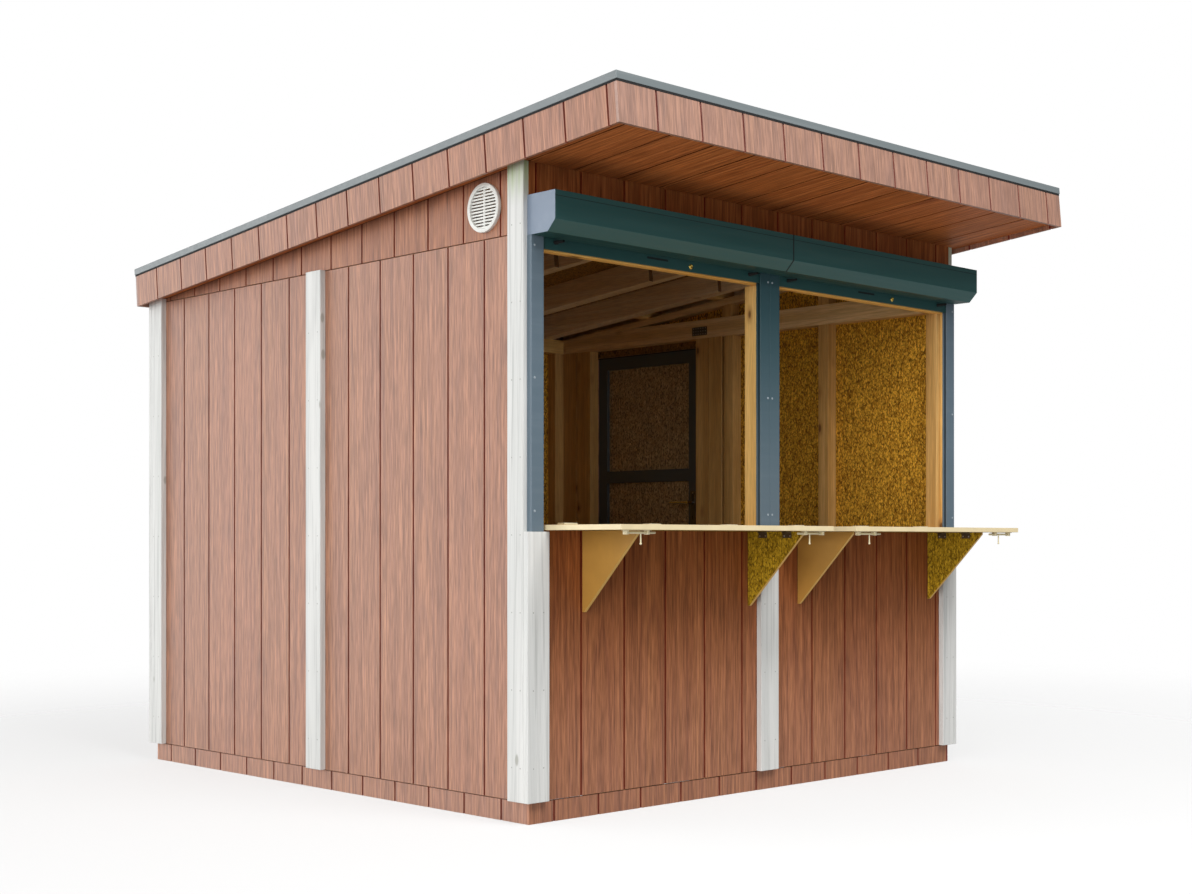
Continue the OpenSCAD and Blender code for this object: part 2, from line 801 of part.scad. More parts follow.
module fascia_sides() {
    cut = [2 * groove_depth, groove_w, fascia_cut_h];
    places = grooves(fascia_y0, fascia_y1, side_fascia_shift);
    color(cladding_color)
        on_roof() {
            fascia([-roof_x, fascia_y0, -fascia_drop], [-fascia_x, fascia_y1, deck_h0],
                   [for (y = places) [-roof_x, y, 0]], cut);
            fascia([fascia_x, fascia_y0, -fascia_drop], [roof_x, fascia_y1, deck_h0],
                   [for (y = places) [roof_x, y, 0]], cut);
        }
}

module soffit_front() {
    cut = [groove_w, 3 * overhang_front, 2 * groove_depth];
    color(cladding_color)
        on_roof()
            fascia([-fascia_x, fascia_y0, 0], [fascia_x, soffit_wall_y, soffit_t],
                   [for (x = grooves(-fascia_x, fascia_x, soffit_shift)) [x, fascia_y0, 0]], cut);
}

module soffit_edges() {
    rear_y = (inner_y + 2) / cos(pitch);
    color(cladding_color)
        on_roof() {
            block([-fascia_x, soffit_wall_y + shadow_gap, 0], [-inner_x, fascia_y1, soffit_t]);
            block([inner_x, soffit_wall_y + shadow_gap, 0], [fascia_x, fascia_y1, soffit_t]);
            block([shadow_gap - inner_x, rear_y, 0], [inner_x - shadow_gap, fascia_y1, soffit_t]);
        }
}

module roof_trim() {
    h0 = deck_h0 - trim_lap;
    h1 = trim_h0 + trim_t;
    color(steel_color)
        on_roof()
            difference() {
                block([-roof_x - trim_t, roof_y0 - trim_t, h0], [roof_x + trim_t, roof_y1 + trim_t, h1]);
                block([-roof_x, roof_y0, h0 - 1], [roof_x, roof_y1, trim_h0]);
                block([trim_flange - roof_x, roof_y0 + trim_flange, h0 - 1],
                      [roof_x - trim_flange, roof_y1 - trim_flange, h1 + 1]);
            }
}

// A shutter box between two places along the width
module shutter_box(x0, x1) {
    front = -wall_y - box_d;
    color(shutter_color)
        along_x(x0 + shutter_gap, x1 - shutter_gap)
            polygon([[-wall_y, box_z0], [-wall_y, box_z0 + box_h], [front, box_z0 + box_h],
                     [front, box_z0 + box_chamfer], [front + box_chamfer, box_z0]]);
}

module shutter_box_left() {
    shutter_box(shutter_x[0], shutter_x[1]);
}

module shutter_box_right() {
    shutter_box(shutter_x[1], shutter_x[2]);
}

// A guide rail whose slot opens to one side
module guide_rail(x0, side) {
    slot_x = side > 0 ? x0 + rail_w - rail_slot_d : x0 - 1;
    difference() {
        block([x0, -wall_y - rail_d, rail_z0], [x0 + rail_w - shutter_gap, -wall_y, box_z0]);
        translate([slot_x, rail_slot_y - rail_slot_w / 2, 0])
            cube([rail_slot_d + 1, rail_slot_w, 2 * box_z0]);
    }
}

module shutter_rails() {
    color(shutter_color) {
        guide_rail(shutter_x[0], 1);
        guide_rail(shutter_x[1] - rail_w, -1);
        guide_rail(shutter_x[1] + shutter_gap, 1);
        guide_rail(shutter_x[2] - rail_w, -1);
    }
}

module shutter_end_slats() {
    reach = rail_w - rail_slot_d / 2;
    color(shutter_color)
        for (k = [0, 1])
            block([shutter_x[k] + reach, rail_slot_y - end_slat_t / 2, box_z0 - end_slat_h],
                  [shutter_x[k + 1] - reach, rail_slot_y + end_slat_t / 2, box_z0]);
}

module vent_grille() {
    inner_d = vent_d - 2 * vent_rim;
    step = inner_d / vent_slats;
    slat_h = vent_slat_share * step;
    color(white_color)
        translate([-wall_x, vent_y, vent_z])
            rotate([0, -90, 0]) {
                difference() {
                    cylinder(d = vent_d, h = vent_t);
                    translate([0, 0, -1])
                        cylinder(d = inner_d, h = vent_t + 2);
                }
                intersection() {
                    cylinder(d = inner_d + vent_rim, h = vent_t / 2);
                    union() {
                        for (k = [0 : vent_slats - 1])
                            translate([(k - (vent_slats - 1) / 2) * step - slat_h / 2, -vent_d / 2, 0])
                                cube([slat_h, vent_d, vent_t / 2]);
                        translate([-vent_d / 2, -vent_rim / 4, 0])
                            cube([vent_d, vent_rim / 2, vent_t / 2]);
                    }
                }
            }
}

// A bore for the lever's neck through the door leaf
module spindle_bore() {
    translate([door_x - lever_reach, lever_y, lever_z])
        rotate([0, 90, 0])
            cylinder(d = spindle_bore_d, h = 4 * lever_reach);
}

module door_frame() {
    color(dark_color)
        difference() {
            block([door_x, door_y0, door_z0], [door_frame_face, door_y1, door_top]);
            for (z = [[door_z0 + door_stile_w, door_mid_rail_z],
                      [door_mid_rail_z + door_stile_w, door_top - door_stile_w]])
                block([door_x - 1, door_y0 + door_stile_w, z[0]],
                      [door_frame_face + 1, door_y1 - door_stile_w, z[1]]);
            spindle_bore();
        }
}

module door_panel() {
    front = door_y0 - door_lap;
    outline = side_rectangle(front, door_y1, door_z0, door_top + door_lap);
    color(cladding_color)
        difference() {
            side_panel(1, front, door_y1, outline, door_face, side_joint_y);
            spindle_bore();
        }
}

// Handle plates on both faces of the door, and the leaves of its hinges with their knuckles
module door_plates() {
    low = lever_z - handle_plate_drop;
    color(steel_color) {
        difference() {
            for (x = [door_x - handle_plate_t, door_face])
                block([x, lever_y - handle_plate_w / 2, low],
                      [x + handle_plate_t, lever_y + handle_plate_w / 2, low + handle_plate_h]);
            spindle_bore();
        }
        for (z = door_hinge_places)
            translate([0, 0, z])
                difference() {
                    union() {
                        translate([door_axis_x, door_axis_y, hinge_play])
                            cylinder(r = door_hinge_r, h = door_hinge_l / 2 - hinge_play);
                        block([door_face, door_y1 - hinge_leaf_w, hinge_play],
                              [door_face + hinge_leaf_t, door_axis_y, door_hinge_l / 2]);
                    }
                    translate([door_axis_x, door_axis_y, -1])
                        cylinder(r = door_pin_r + hinge_play, h = door_hinge_l);
                }
    }
}

module door_lever() {
    inner = door_x - lever_reach;
    outer = door_face + lever_reach;
    color(steel_color)
        translate([0, lever_y, lever_z]) {
            translate([inner - lever_d / 2, 0, 0])
                rotate([0, 90, 0])
                    cylinder(d = spindle_bore_d - 2 * spindle_play, h = outer - inner + lever_d);
            for (x = [inner, outer])
                translate([x, 0, 0])
                    rotate([-90, 0, 0])
                        cylinder(d = lever_d, h = lever_l);
        }
}

module door_hinges() {
    leaf_y = door_axis_y + door_hinge_r;
    color(steel_color)
        for (z = door_hinge_places)
            translate([0, 0, z - door_hinge_l / 2]) {
                translate([door_axis_x, door_axis_y, 0]) {
                    cylinder(r = door_hinge_r, h = door_hinge_l / 2);
                    cylinder(r = door_pin_r, h = door_hinge_l);
                }
                block([wall_x, leaf_y - hinge_leaf_t, 0], [door_axis_x, leaf_y, door_hinge_l / 2]);
                block([wall_x, leaf_y - hinge_leaf_t, 0],
                      [wall_x + hinge_leaf_t, leaf_y + hinge_leaf_w, door_hinge_l / 2]);
            }
}

module counter_hinges() {
    leaf_y = hinge_leaf_set - wall_y;
    color(white_color)
        for (flap = flap_x)
            for (share = hinge_shares)
                translate([flap[0] + share * (flap[1] - flap[0]) - hinge_l / 2, 0, 0]) {
                    translate([0, axis_y, axis_z])
                        rotate([0, 90, 0])
                            cylinder(r = hinge_r, h = hinge_l);
                    block([0, axis_y, axis_z], [hinge_l, leaf_y + hinge_r, axis_z + hinge_r]);
                    block([0, leaf_y, counter_h], [hinge_l, leaf_y + hinge_leaf_d, axis_z + hinge_r]);
                }
}

// A counter flap
module flap(x) {
    color(cream_color)
        block([x[0], flap_y0, sill_z], [x[1], flap_y1, counter_h]);
}

module flap_left() {
    flap(flap_x[0]);
}

module flap_right() {
    flap(flap_x[1]);
}

// A folding bracket, with its outer face given and its inner face towards the flap's middle
module bracket(k) {
    top = sill_z - bracket_gap;
    x0 = bracket_side[k] > 0 ? bracket_x[k] : bracket_x[k] - bracket_t;
    color(strand_color)
        along_x(x0, x0 + bracket_t)
            polygon([[flap_y1, top], [flap_y1 - bracket_d, top], [flap_y1 - bracket_d, top - bracket_tip],
                     [flap_y1 - bracket_tip, top - bracket_h], [flap_y1, top - bracket_h]]);
}

module bracket_1() {
    bracket(0);
}

module bracket_2() {
    bracket(1);
}

module bracket_3() {
    bracket(2);
}

module bracket_4() {
    bracket(3);
}

// Hinge barrels of one bracket, in the corner between its inner face and the flap
module bracket_barrels(k) {
    x = bracket_x[k] + bracket_side[k] * (bracket_t + bracket_axis);
    color(dark_color)
        for (y = [flap_y1 - bracket_hinge_inset - bracket_hinge_l,
                  flap_y1 - bracket_d + bracket_hinge_inset])
            translate([x, y, sill_z - bracket_axis])
                rotate([-90, 0, 0])
                    cylinder(r = bracket_hinge_r, h = bracket_hinge_l);
}

module bracket_hinges_left() {
    bracket_barrels(0);
    bracket_barrels(1);
}

module bracket_hinges_right() {
    bracket_barrels(2);
    bracket_barrels(3);
}

// A block of a slide bolt, from a distance inside its outer end
module bolt_block(k, from, length, width, drop) {
    x0 = bolt_side[k] > 0 ? bolt_x[k] - from - length : bolt_x[k] + from;
    translate([x0, bolt_y - width / 2, sill_z - drop])
        cube([length, width, drop]);
}

// The plate and loops of a slide bolt under the end of a flap
module bolt_plate(k) {
    color(cream_color)
        difference() {
            union() {
                bolt_block(k, 0, bolt_plate_l, bolt_plate_w, bolt_plate_t);
                bolt_block(k, 0, bolt_loop_l, bolt_loop_w, bolt_loop_h);
                bolt_block(k, bolt_plate_l - bolt_loop_l, bolt_loop_l, bolt_loop_w, bolt_loop_h);
            }
            translate([bolt_x[k] - bolt_rod_l, bolt_y, bolt_z])
                rotate([0, 90, 0])
                    cylinder(d = bolt_rod_d + 2 * bolt_play, h = 2 * bolt_rod_l);
        }
}

module bolt_plates_left() {
    bolt_plate(0);
    bolt_plate(1);
}

module bolt_plates_right() {
    bolt_plate(2);
    bolt_plate(3);
}

// A bolt rod with its hanging knob, drawn back into the flap
module bolt_rod(k) {
    color(cream_color)
        translate([bolt_x[k], bolt_y, bolt_z]) {
            rotate([0, -90 * bolt_side[k], 0])
                cylinder(d = bolt_rod_d, h = bolt_rod_l);
            translate([-bolt_side[k] * bolt_knob_at, 0, -bolt_knob_l]) {
                cylinder(d = bolt_knob_d, h = bolt_knob_l);
                sphere(d = bolt_ball_d);
            }
        }
}

module bolt_rod_1() {
    bolt_rod(0);
}

module bolt_rod_2() {
    bolt_rod(1);
}

module bolt_rod_3() {
    bolt_rod(2);
}

module bolt_rod_4() {
    bolt_rod(3);
}

floor_bearers();
floor_deck();
skirt_ends();
skirt_sides();
left_wall();
right_wall_front();
right_wall_rear();
right_wall_over_door();
back_wall();
front_apron();
front_header();
gable_panels();
side_boards();
front_boards();
back_boards();
side_wall_studs();
side_wall_plates();
back_wall_studs();
back_wall_plates();
front_wall_studs();
front_wall_beams();
header_beam();
mullion();
jamb_linings();
sill_boards();
gable_rails();
rafters();
noggins();
roof_deck();
roof_covering();
fascia_ends();
fascia_sides();
soffit_front();
soffit_edges();
roof_trim();
shutter_box_left();
shutter_box_right();
shutter_rails();
shutter_end_slats();
vent_grille();
door_frame();
door_panel();
door_plates();
door_lever();
door_hinges();
counter_hinges();
flap_left();
flap_right();
bracket_1();
bracket_2();
bracket_3();
bracket_4();
bracket_hinges_left();
bracket_hinges_right();
bolt_plates_left();
bolt_plates_right();
bolt_rod_1();
bolt_rod_2();
bolt_rod_3();
bolt_rod_4();
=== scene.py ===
import json
import math

import bmesh
import bpy
from mathutils import Matrix, Vector

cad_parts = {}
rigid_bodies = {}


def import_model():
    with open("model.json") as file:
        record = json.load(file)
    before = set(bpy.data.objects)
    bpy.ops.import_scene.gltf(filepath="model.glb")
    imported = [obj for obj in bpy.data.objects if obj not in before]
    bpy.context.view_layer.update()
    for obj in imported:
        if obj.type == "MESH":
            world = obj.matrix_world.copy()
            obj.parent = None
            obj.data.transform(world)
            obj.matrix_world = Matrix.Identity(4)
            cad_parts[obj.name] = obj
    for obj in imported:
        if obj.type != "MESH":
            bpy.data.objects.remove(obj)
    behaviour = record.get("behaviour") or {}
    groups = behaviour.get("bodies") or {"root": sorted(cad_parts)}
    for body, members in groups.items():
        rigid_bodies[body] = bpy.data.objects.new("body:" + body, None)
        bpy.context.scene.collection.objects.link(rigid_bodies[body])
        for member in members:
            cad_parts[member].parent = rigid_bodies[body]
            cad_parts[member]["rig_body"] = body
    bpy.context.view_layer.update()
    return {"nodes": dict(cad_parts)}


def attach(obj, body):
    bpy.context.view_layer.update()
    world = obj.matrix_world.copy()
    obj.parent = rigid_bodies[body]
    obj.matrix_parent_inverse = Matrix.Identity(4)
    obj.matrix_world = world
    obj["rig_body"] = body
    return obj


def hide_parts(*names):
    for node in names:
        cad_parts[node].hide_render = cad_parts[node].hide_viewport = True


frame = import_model()
nodes = frame["nodes"]


# Floor
# Five planed softwood bearers lie front to back on the ground, inside the skirt.
# A strand-board deck is screwed down on them and shows through the door and the serving openings.

def paint(red, green, blue):
    """A colour as the eye sees it on a chart, from 0 to 255, as the light values that shaders take."""
    shares = [value / 255 for value in (red, green, blue)]
    linear = [s / 12.92 if s <= 0.04045 else ((s + 0.055) / 1.055) ** 2.4 for s in shares]
    return (*linear, 1.0)


def wire(tree, kind, feeds=None, **settings):
    """A new node with its settings, its inputs fed with values or with other nodes' outputs."""
    made = tree.nodes.new(kind if "Node" in kind else "ShaderNode" + kind)
    for name, value in settings.items():
        setattr(made, name, value)
    for socket, source in (feeds or {}).items():
        if isinstance(source, bpy.types.NodeSocket):
            tree.links.new(source, made.inputs[socket])
        else:
            made.inputs[socket].default_value = source
    return made


def sums(tree, operation, first, second=0.0):
    """One step of arithmetic on values."""
    return wire(tree, "Math", {0: first, 1: second}, operation=operation).outputs[0]


def span(tree, value, low, high, to_low=0.0, to_high=1.0):
    """A value eased from one span onto another."""
    feeds = {0: value, 1: low, 2: high, 3: to_low, 4: to_high}
    return wire(tree, "MapRange", feeds, interpolation_type="SMOOTHSTEP").outputs[0]


def tint(tree, amount, under, over):
    """One colour laid over another."""
    return wire(tree, "Mix", {0: amount, 6: under, 7: over}, data_type="RGBA").outputs[2]


def deepen(tree, colour, amount):
    """A colour made lighter or darker all over by a value."""
    start = colour if isinstance(colour, bpy.types.NodeSocket) else colour[:3]
    return wire(tree, "VectorMath", {0: start, "Scale": amount}, operation="SCALE").outputs[0]


def stretch(tree, vector, factors):
    """A place scaled by a factor for each axis."""
    return wire(tree, "VectorMath", {0: vector, 1: factors}, operation="MULTIPLY").outputs[0]


def cloud(tree, vector, detail):
    """Soft noise from 0 to 1 at a place."""
    return wire(tree, "TexNoise", {"Vector": vector, "Scale": 1.0, "Detail": detail}).outputs[0]


def object_place(tree):
    """The place on a piece in metres, in the hut's own frame."""
    return wire(tree, "TexCoord").outputs["Object"]


def axes(tree, vector):
    """The three parts of a place or a direction."""
    return wire(tree, "SeparateXYZ", {0: vector}).outputs


def grain_place(tree, direction):
    """The place on a piece, ordered so that the third axis runs along the grain."""
    x, y, z = axes(tree, object_place(tree))
    order = {"X": (y, z, x), "Y": (x, z, y), "Z": (x, y, z)}[direction]
    return wire(tree, "CombineXYZ", dict(enumerate(order))).outputs[0]


def effect(name, takes, gives):
    """An empty shader group with named inputs and value outputs, for an effect that finishes share."""
    tree = bpy.data.node_groups.new(name, "ShaderNodeTree")
    for label, kind, value in takes:
        socket = tree.interface.new_socket(label, in_out="INPUT", socket_type="NodeSocket" + kind)
        if value is not None:
            socket.default_value = value
    for label in gives:
        tree.interface.new_socket(label, in_out="OUTPUT", socket_type="NodeSocketFloat")
    return tree, tree.nodes.new("NodeGroupInput").outputs, tree.nodes.new("NodeGroupOutput").inputs


def effect_in(tree, group, feeds):
    """The outputs of a shared effect that is put to use in a finish or in another effect."""
    return wire(tree, "Group", feeds, node_tree=group).outputs


def surface(name, rough, metal=0.0, level=0.5):
    """A new material, its node tree and its main shader."""
    material = bpy.data.materials.new(name)
    material.use_nodes = True
    shader = material.node_tree.nodes["Principled BSDF"]
    shader.inputs["Roughness"].default_value = rough
    shader.inputs["Metallic"].default_value = metal
    shader.inputs["Specular IOR Level"].default_value = level
    return material, material.node_tree, shader


def relief(tree, shader, height, depth, strength):
    """Raises a surface by a height of up to a depth in metres."""
    bump = wire(tree, "Bump", {"Height": height, "Distance": depth, "Strength": strength})
    tree.links.new(bump.outputs[0], shader.inputs["Normal"])


# Growth rings about a leaning axis, fine fibres and broad shade, with the grain along the third axis
timber, given, out = effect(
    "Timber Figure",
    [("Vector", "Vector", None), ("Seed", "Float", 0.0), ("Ring Gap", "Float", 0.008),
     ("Lean", "Float", 0.03), ("Wander", "Float", 0.03)],
    ["Rings", "Fibre", "Streak", "Shade"])
seeded = wire(timber, "VectorMath", {0: given["Vector"], 1: given["Seed"]}, operation="ADD").outputs[0]
slow = cloud(timber, stretch(timber, seeded, (7.0, 7.0, 0.9)), 3.0)
sway = sums(timber, "MULTIPLY", sums(timber, "SUBTRACT", slow, 0.5), given["Wander"])
x, y, z = axes(timber, given["Vector"])
depth = sums(timber, "ADD", sums(timber, "ADD", y, sway), sums(timber, "MULTIPLY", z, given["Lean"]))
x_squared = sums(timber, "MULTIPLY", x, x)
depth_squared = sums(timber, "MULTIPLY", depth, depth)
reach = sums(timber, "SQRT", sums(timber, "ADD", x_squared, depth_squared))
swayed = sums(timber, "ADD", reach, sway)
rings = sums(timber, "DIVIDE", sums(timber, "PINGPONG", swayed, given["Ring Gap"]), given["Ring Gap"])
timber.links.new(rings, out["Rings"])
for label, fineness, detail in (("Fibre", (340.0, 340.0, 12.0), 3.0), ("Streak", (90.0, 90.0, 2.4), 4.0),
                                ("Shade", (26.0, 26.0, 0.8), 3.0)):
    lines = cloud(timber, stretch(timber, seeded, fineness), detail)
    timber.links.new(span(timber, lines, 0.3, 0.7), out[label])

# Oval branch knots, a dark heart in a paler ring
knots, given, out = effect("Branch Knots", [("Vector", "Vector", None)], ["Heart", "Ring"])
drawn_out = stretch(knots, given["Vector"], (9.0, 9.0, 4.0))
sites = wire(knots, "TexVoronoi", {"Vector": drawn_out, "Scale": 1.0}).outputs["Distance"]
knots.links.new(span(knots, sites, 0.05, 0.1, 1.0, 0.0), out["Heart"])
knots.links.new(span(knots, sites, 0.09, 0.2, 1.0, 0.0), out["Ring"])


def pine(name, direction, pale, dark):
    """Planed softwood with its grain along one axis of the hut."""
    material, tree, shader = surface(name, 0.55, level=0.35)
    place = grain_place(tree, direction)
    figure = effect_in(tree, timber, {"Vector": place, "Ring Gap": 0.009, "Wander": 0.05})
    branch = effect_in(tree, knots, {"Vector": place})
    base = tint(tree, figure["Shade"], dark, pale)
    lined = tint(tree, span(tree, figure["Rings"], 0.55, 1.0, 0.0, 0.5), base, dark)
    fibred = deepen(tree, lined, span(tree, figure["Fibre"], 0.0, 1.0, 0.86, 1.08))
    ringed = tint(tree, sums(tree, "MULTIPLY", branch["Ring"], 0.45), fibred, paint(150, 98, 48))
    knotted = tint(tree, sums(tree, "MULTIPLY", branch["Heart"], 0.8), ringed, paint(84, 48, 24))
    tree.links.new(knotted, shader.inputs["Base Color"])
    relief(tree, shader, sums(tree, "ADD", figure["Fibre"], figure["Rings"]), 0.0006, 0.5)
    return material


# Pressed strands: two crossing layers of long flakes, each with its own tone and dark gaps between
strands, given, out = effect("Pressed Strands", [("Vector", "Vector", None)], ["Flake", "Gap"])
layers = []
for turn in (0.45, -0.35):
    leaned = wire(strands, "VectorRotate", {"Vector": given["Vector"], "Rotation": (turn, turn, 0.0)},
                  rotation_type="EULER_XYZ").outputs[0]
    drawn_out = stretch(strands, leaned, (150.0, 150.0, 52.0))
    cells = wire(strands, "TexVoronoi", {"Vector": drawn_out, "Scale": 1.0}).outputs
    tones = wire(strands, "SeparateColor", {0: cells["Color"]}).outputs
    layers.append((tones, cells["Distance"]))
(first, first_far), (second, second_far) = layers
upper = sums(strands, "GREATER_THAN", first["Red"], second["Red"])
flake = wire(strands, "Mix", {0: upper, 2: second["Green"], 3: first["Green"]}).outputs[0]
edge = wire(strands, "Mix", {0: upper, 2: second_far, 3: first_far}).outputs[0]
strands.links.new(flake, out["Flake"])
strands.links.new(span(strands, edge, 0.45, 0.8), out["Gap"])


def strand_board(name, direction, pale, dark, gap):
    """Pressed strand board, its flakes mostly along one axis of the hut."""
    material, tree, shader = surface(name, 0.5, level=0.15)
    place = grain_place(tree, direction)
    flakes = effect_in(tree, strands, {"Vector": place})
    figure = effect_in(tree, timber, {"Vector": place})
    toned = tint(tree, flakes["Flake"], dark, pale)
    fibred = deepen(tree, toned, span(tree, figure["Fibre"], 0.0, 1.0, 0.74, 1.18))
    gapped = tint(tree, sums(tree, "MULTIPLY", flakes["Gap"], 0.75), fibred, gap)
    tree.links.new(gapped, shader.inputs["Base Color"])
    relief(tree, shader, sums(tree, "SUBTRACT", flakes["Flake"], flakes["Gap"]), 0.0008, 0.6)
    return material


def dress(node, material):
    """Gives a CAD node that already has the right shape its finish."""
    nodes[node].data.materials.clear()
    nodes[node].data.materials.append(material)


pine_deep = pine("pine along the depth", "Y", paint(236, 202, 148), paint(212, 172, 114))
strand_floor = strand_board("strand board floor", "Y",
                            paint(178, 138, 74), paint(132, 94, 42), paint(70, 44, 18))
dress("floor_bearers", pine_deep)
dress("floor_deck", strand_floor)


# Cladding
# Grooved plywood sheets, stained red-brown outside, stand on the floor frame, with a low skirt below them.
# Their inner faces are bare strand board. A groove every 203 mm makes each sheet look like single boards.

groove_pitch = 0.2032
groove_half = 0.004

boards, given, out = effect(
    "Stained Boards",
    [("Across", "Float", 0.0), ("Along", "Float", 0.0), ("Pitch", "Float", groove_pitch)],
    ["Board", "Rings", "Fibre", "Streak", "Shade", "Groove"])
cell = sums(boards, "DIVIDE", given["Across"], given["Pitch"])
number = sums(boards, "FLOOR", cell)
from_middle = sums(boards, "SUBTRACT", sums(boards, "SUBTRACT", cell, number), 0.5)
board = wire(boards, "TexWhiteNoise", {"W": number}, noise_dimensions="1D").outputs["Value"]
drift = sums(boards, "MULTIPLY", sums(boards, "SUBTRACT", board, 0.5), 0.22)
offset = sums(boards, "ADD", sums(boards, "MULTIPLY", from_middle, given["Pitch"]), drift)
heart_depth = sums(boards, "MULTIPLY", board, 0.1)
heart = wire(boards, "CombineXYZ", {0: offset, 1: heart_depth, 2: given["Along"]}).outputs[0]
seed = sums(boards, "MULTIPLY", board, 37.0)
figure = effect_in(boards, timber, {"Vector": heart, "Seed": seed, "Ring Gap": 0.011, "Lean": 0.035,
                                    "Wander": 0.04})
edge = sums(boards, "SUBTRACT", 0.5, sums(boards, "ABSOLUTE", from_middle))
boards.links.new(board, out["Board"])
for label in ("Rings", "Fibre", "Streak", "Shade"):
    boards.links.new(figure[label], out[label])
boards.links.new(span(boards, sums(boards, "MULTIPLY", edge, given["Pitch"]), groove_half - 0.0004,
                      groove_half + 0.0006, 1.0, 0.0), out["Groove"])


def along_way(tree, vector, way):
    """How far a place lies along a way."""
    return wire(tree, "VectorMath", {0: vector, 1: way}, operation="DOT_PRODUCT").outputs["Value"]


def stained(name, across, along, shift, gloss=1.0, painted_light=(0.0, 0.0), lift=1.0, groove=paint(116, 24, 12)):
    """Stained grooved plywood, with its boards counted across one way and its grain along another.
    A pale mix of painted light is given at the ground and at a height of one metre, and lift lightens the
    whole."""
    material, tree, shader = surface(name, 0.46, level=gloss)
    place = object_place(tree)
    over = along_way(tree, place, across)
    run = along_way(tree, place, along)
    figure = effect_in(tree, boards, {"Across": sums(tree, "SUBTRACT", over, shift), "Along": run})
    base = tint(tree, figure["Shade"], paint(146, 82, 40), paint(160, 96, 50))
    rosy = tint(tree, span(tree, figure["Board"], 0.2, 0.9, 0.0, 0.35), base, paint(156, 88, 52))
    lined = tint(tree, span(tree, figure["Rings"], 0.5, 1.0, 0.0, 0.5), rosy, paint(122, 62, 30))
    pale = tint(tree, span(tree, figure["Streak"], 0.6, 1.0, 0.0, 0.2), lined, paint(184, 120, 74))
    dark = tint(tree, span(tree, figure["Streak"], 0.0, 0.4, 0.2, 0.0), pale, paint(112, 56, 28))
    height = axes(tree, place)[2]
    # Painted light: a pale mix that stands for the sheen and light that fall on the wall
    painted_pale = tint(tree, span(tree, height, 0.0, 1.0, *painted_light), dark, paint(206, 184, 174))
    fleck = sums(tree, "MULTIPLY", span(tree, figure["Fibre"], 0.0, 1.0, 0.76 * lift, 1.18 * lift),
                 span(tree, figure["Streak"], 0.0, 1.0, 0.9, 1.08))
    fibred = deepen(tree, painted_pale, fleck)
    # The grooves are darkened partly by their stain and partly by painted shade
    grooved = tint(tree, sums(tree, "MULTIPLY", figure["Groove"], 0.9), fibred, groove)
    tree.links.new(grooved, shader.inputs["Base Color"])
    relief(tree, shader, sums(tree, "ADD", figure["Fibre"], figure["Rings"]), 0.0005, 0.3)
    return material


def fixed_on(piece, body):
    """Puts a made piece in the scene, where it moves with a body."""
    bpy.context.scene.collection.objects.link(piece)
    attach(piece, body)
    return piece


# A face looks along an axis when this share of its normal lies along it
square_on = 0.9


def eased(node, name, slot, *finishes, ease, inner=None, smooth=False):
    """A copy of a CAD node with its edges eased, which stands for it. The faces that look into the hut
    along the axis inner take the second finish."""
    mesh = nodes[node].data.copy()
    mesh.name = name
    work = bmesh.new()
    work.from_mesh(mesh)
    same_point, flat, sharp_from, shade_from = 1e-5, math.radians(1), math.radians(30), math.radians(35)
    bmesh.ops.remove_doubles(work, verts=work.verts, dist=same_point)
    bmesh.ops.dissolve_limit(work, angle_limit=flat, verts=work.verts, edges=work.edges)
    sharp = [e for e in work.edges if e.is_manifold and e.calc_face_angle() > sharp_from]
    bmesh.ops.bevel(work, geom=sharp, offset=ease, offset_type="OFFSET", segments=2, profile=0.5,
                    affect="EDGES", clamp_overlap=True)
    work.to_mesh(mesh)
    work.free()
    mesh.materials.clear()
    for material in finishes:
        mesh.materials.append(material)
    for face in mesh.polygons:
        face.use_smooth = smooth
        face.material_index = 0
        if inner is not None:
            inward = face.normal[inner] * math.copysign(1, face.center[inner])
            face.material_index = 1 if inward < -square_on else 0
    if smooth:
        mesh.set_sharp_from_angle(angle=shade_from)
    piece = fixed_on(bpy.data.objects.new(name, mesh), nodes[node]["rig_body"])
    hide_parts(node)
    return piece


across_side, across_end, upright = (0, 1, 0), (1, 0, 0), (0, 0, 1)
sheet_ease = 0.0008
# The pale mix is painted sheen on the side walls, their trims, the gables and the end trims, and painted
# light towards the ground on the front wall
stained_side = stained("stained side walls", across_side, upright, 0.0, gloss=0.35, painted_light=(0.23, 0.23))
stained_side_trim = stained("stained side trims", across_side, upright, 0.116, gloss=0.35,
                            painted_light=(0.25, 0.25))
stained_gable = stained("stained gables", across_side, upright, 0.116, gloss=0.3, painted_light=(0.14, 0.14))
stained_front = stained("stained front wall", across_end, upright, 0.071, gloss=0.12, painted_light=(0.16, 0.0))
stained_back = stained("stained back wall", across_end, upright, 0.0)
stained_end_trim = stained("stained end trims", across_end, upright, 0.154, gloss=0.5, painted_light=(0.14, 0.14))
# The inner strand board is painted paler than the bare board, partly to stand in for light inside the hut;
# the sheet over the door has a darker copy, painted shade
strand_wall_lit = strand_board("strand board walls, painted lighter", "Z",
                           paint(244, 186, 64), paint(164, 110, 28), paint(60, 36, 9))
strand_lintel_shaded = strand_board("strand board over the door, painted shade", "Z",
                             paint(158, 118, 68), paint(116, 82, 42), paint(58, 38, 18))
for node, strand in (("left_wall", strand_wall_lit), ("right_wall_front", strand_wall_lit),
                     ("right_wall_rear", strand_wall_lit), ("right_wall_over_door", strand_lintel_shaded)):
    eased(node, node + "_sheets", "cladding", stained_side, strand, ease=sheet_ease, inner=0)
eased("gable_panels", "gable_sheets", "cladding", stained_gable, strand_wall_lit, ease=sheet_ease, inner=0)
eased("back_wall", "back_wall_sheets", "cladding", stained_back, strand_wall_lit, ease=sheet_ease, inner=1)
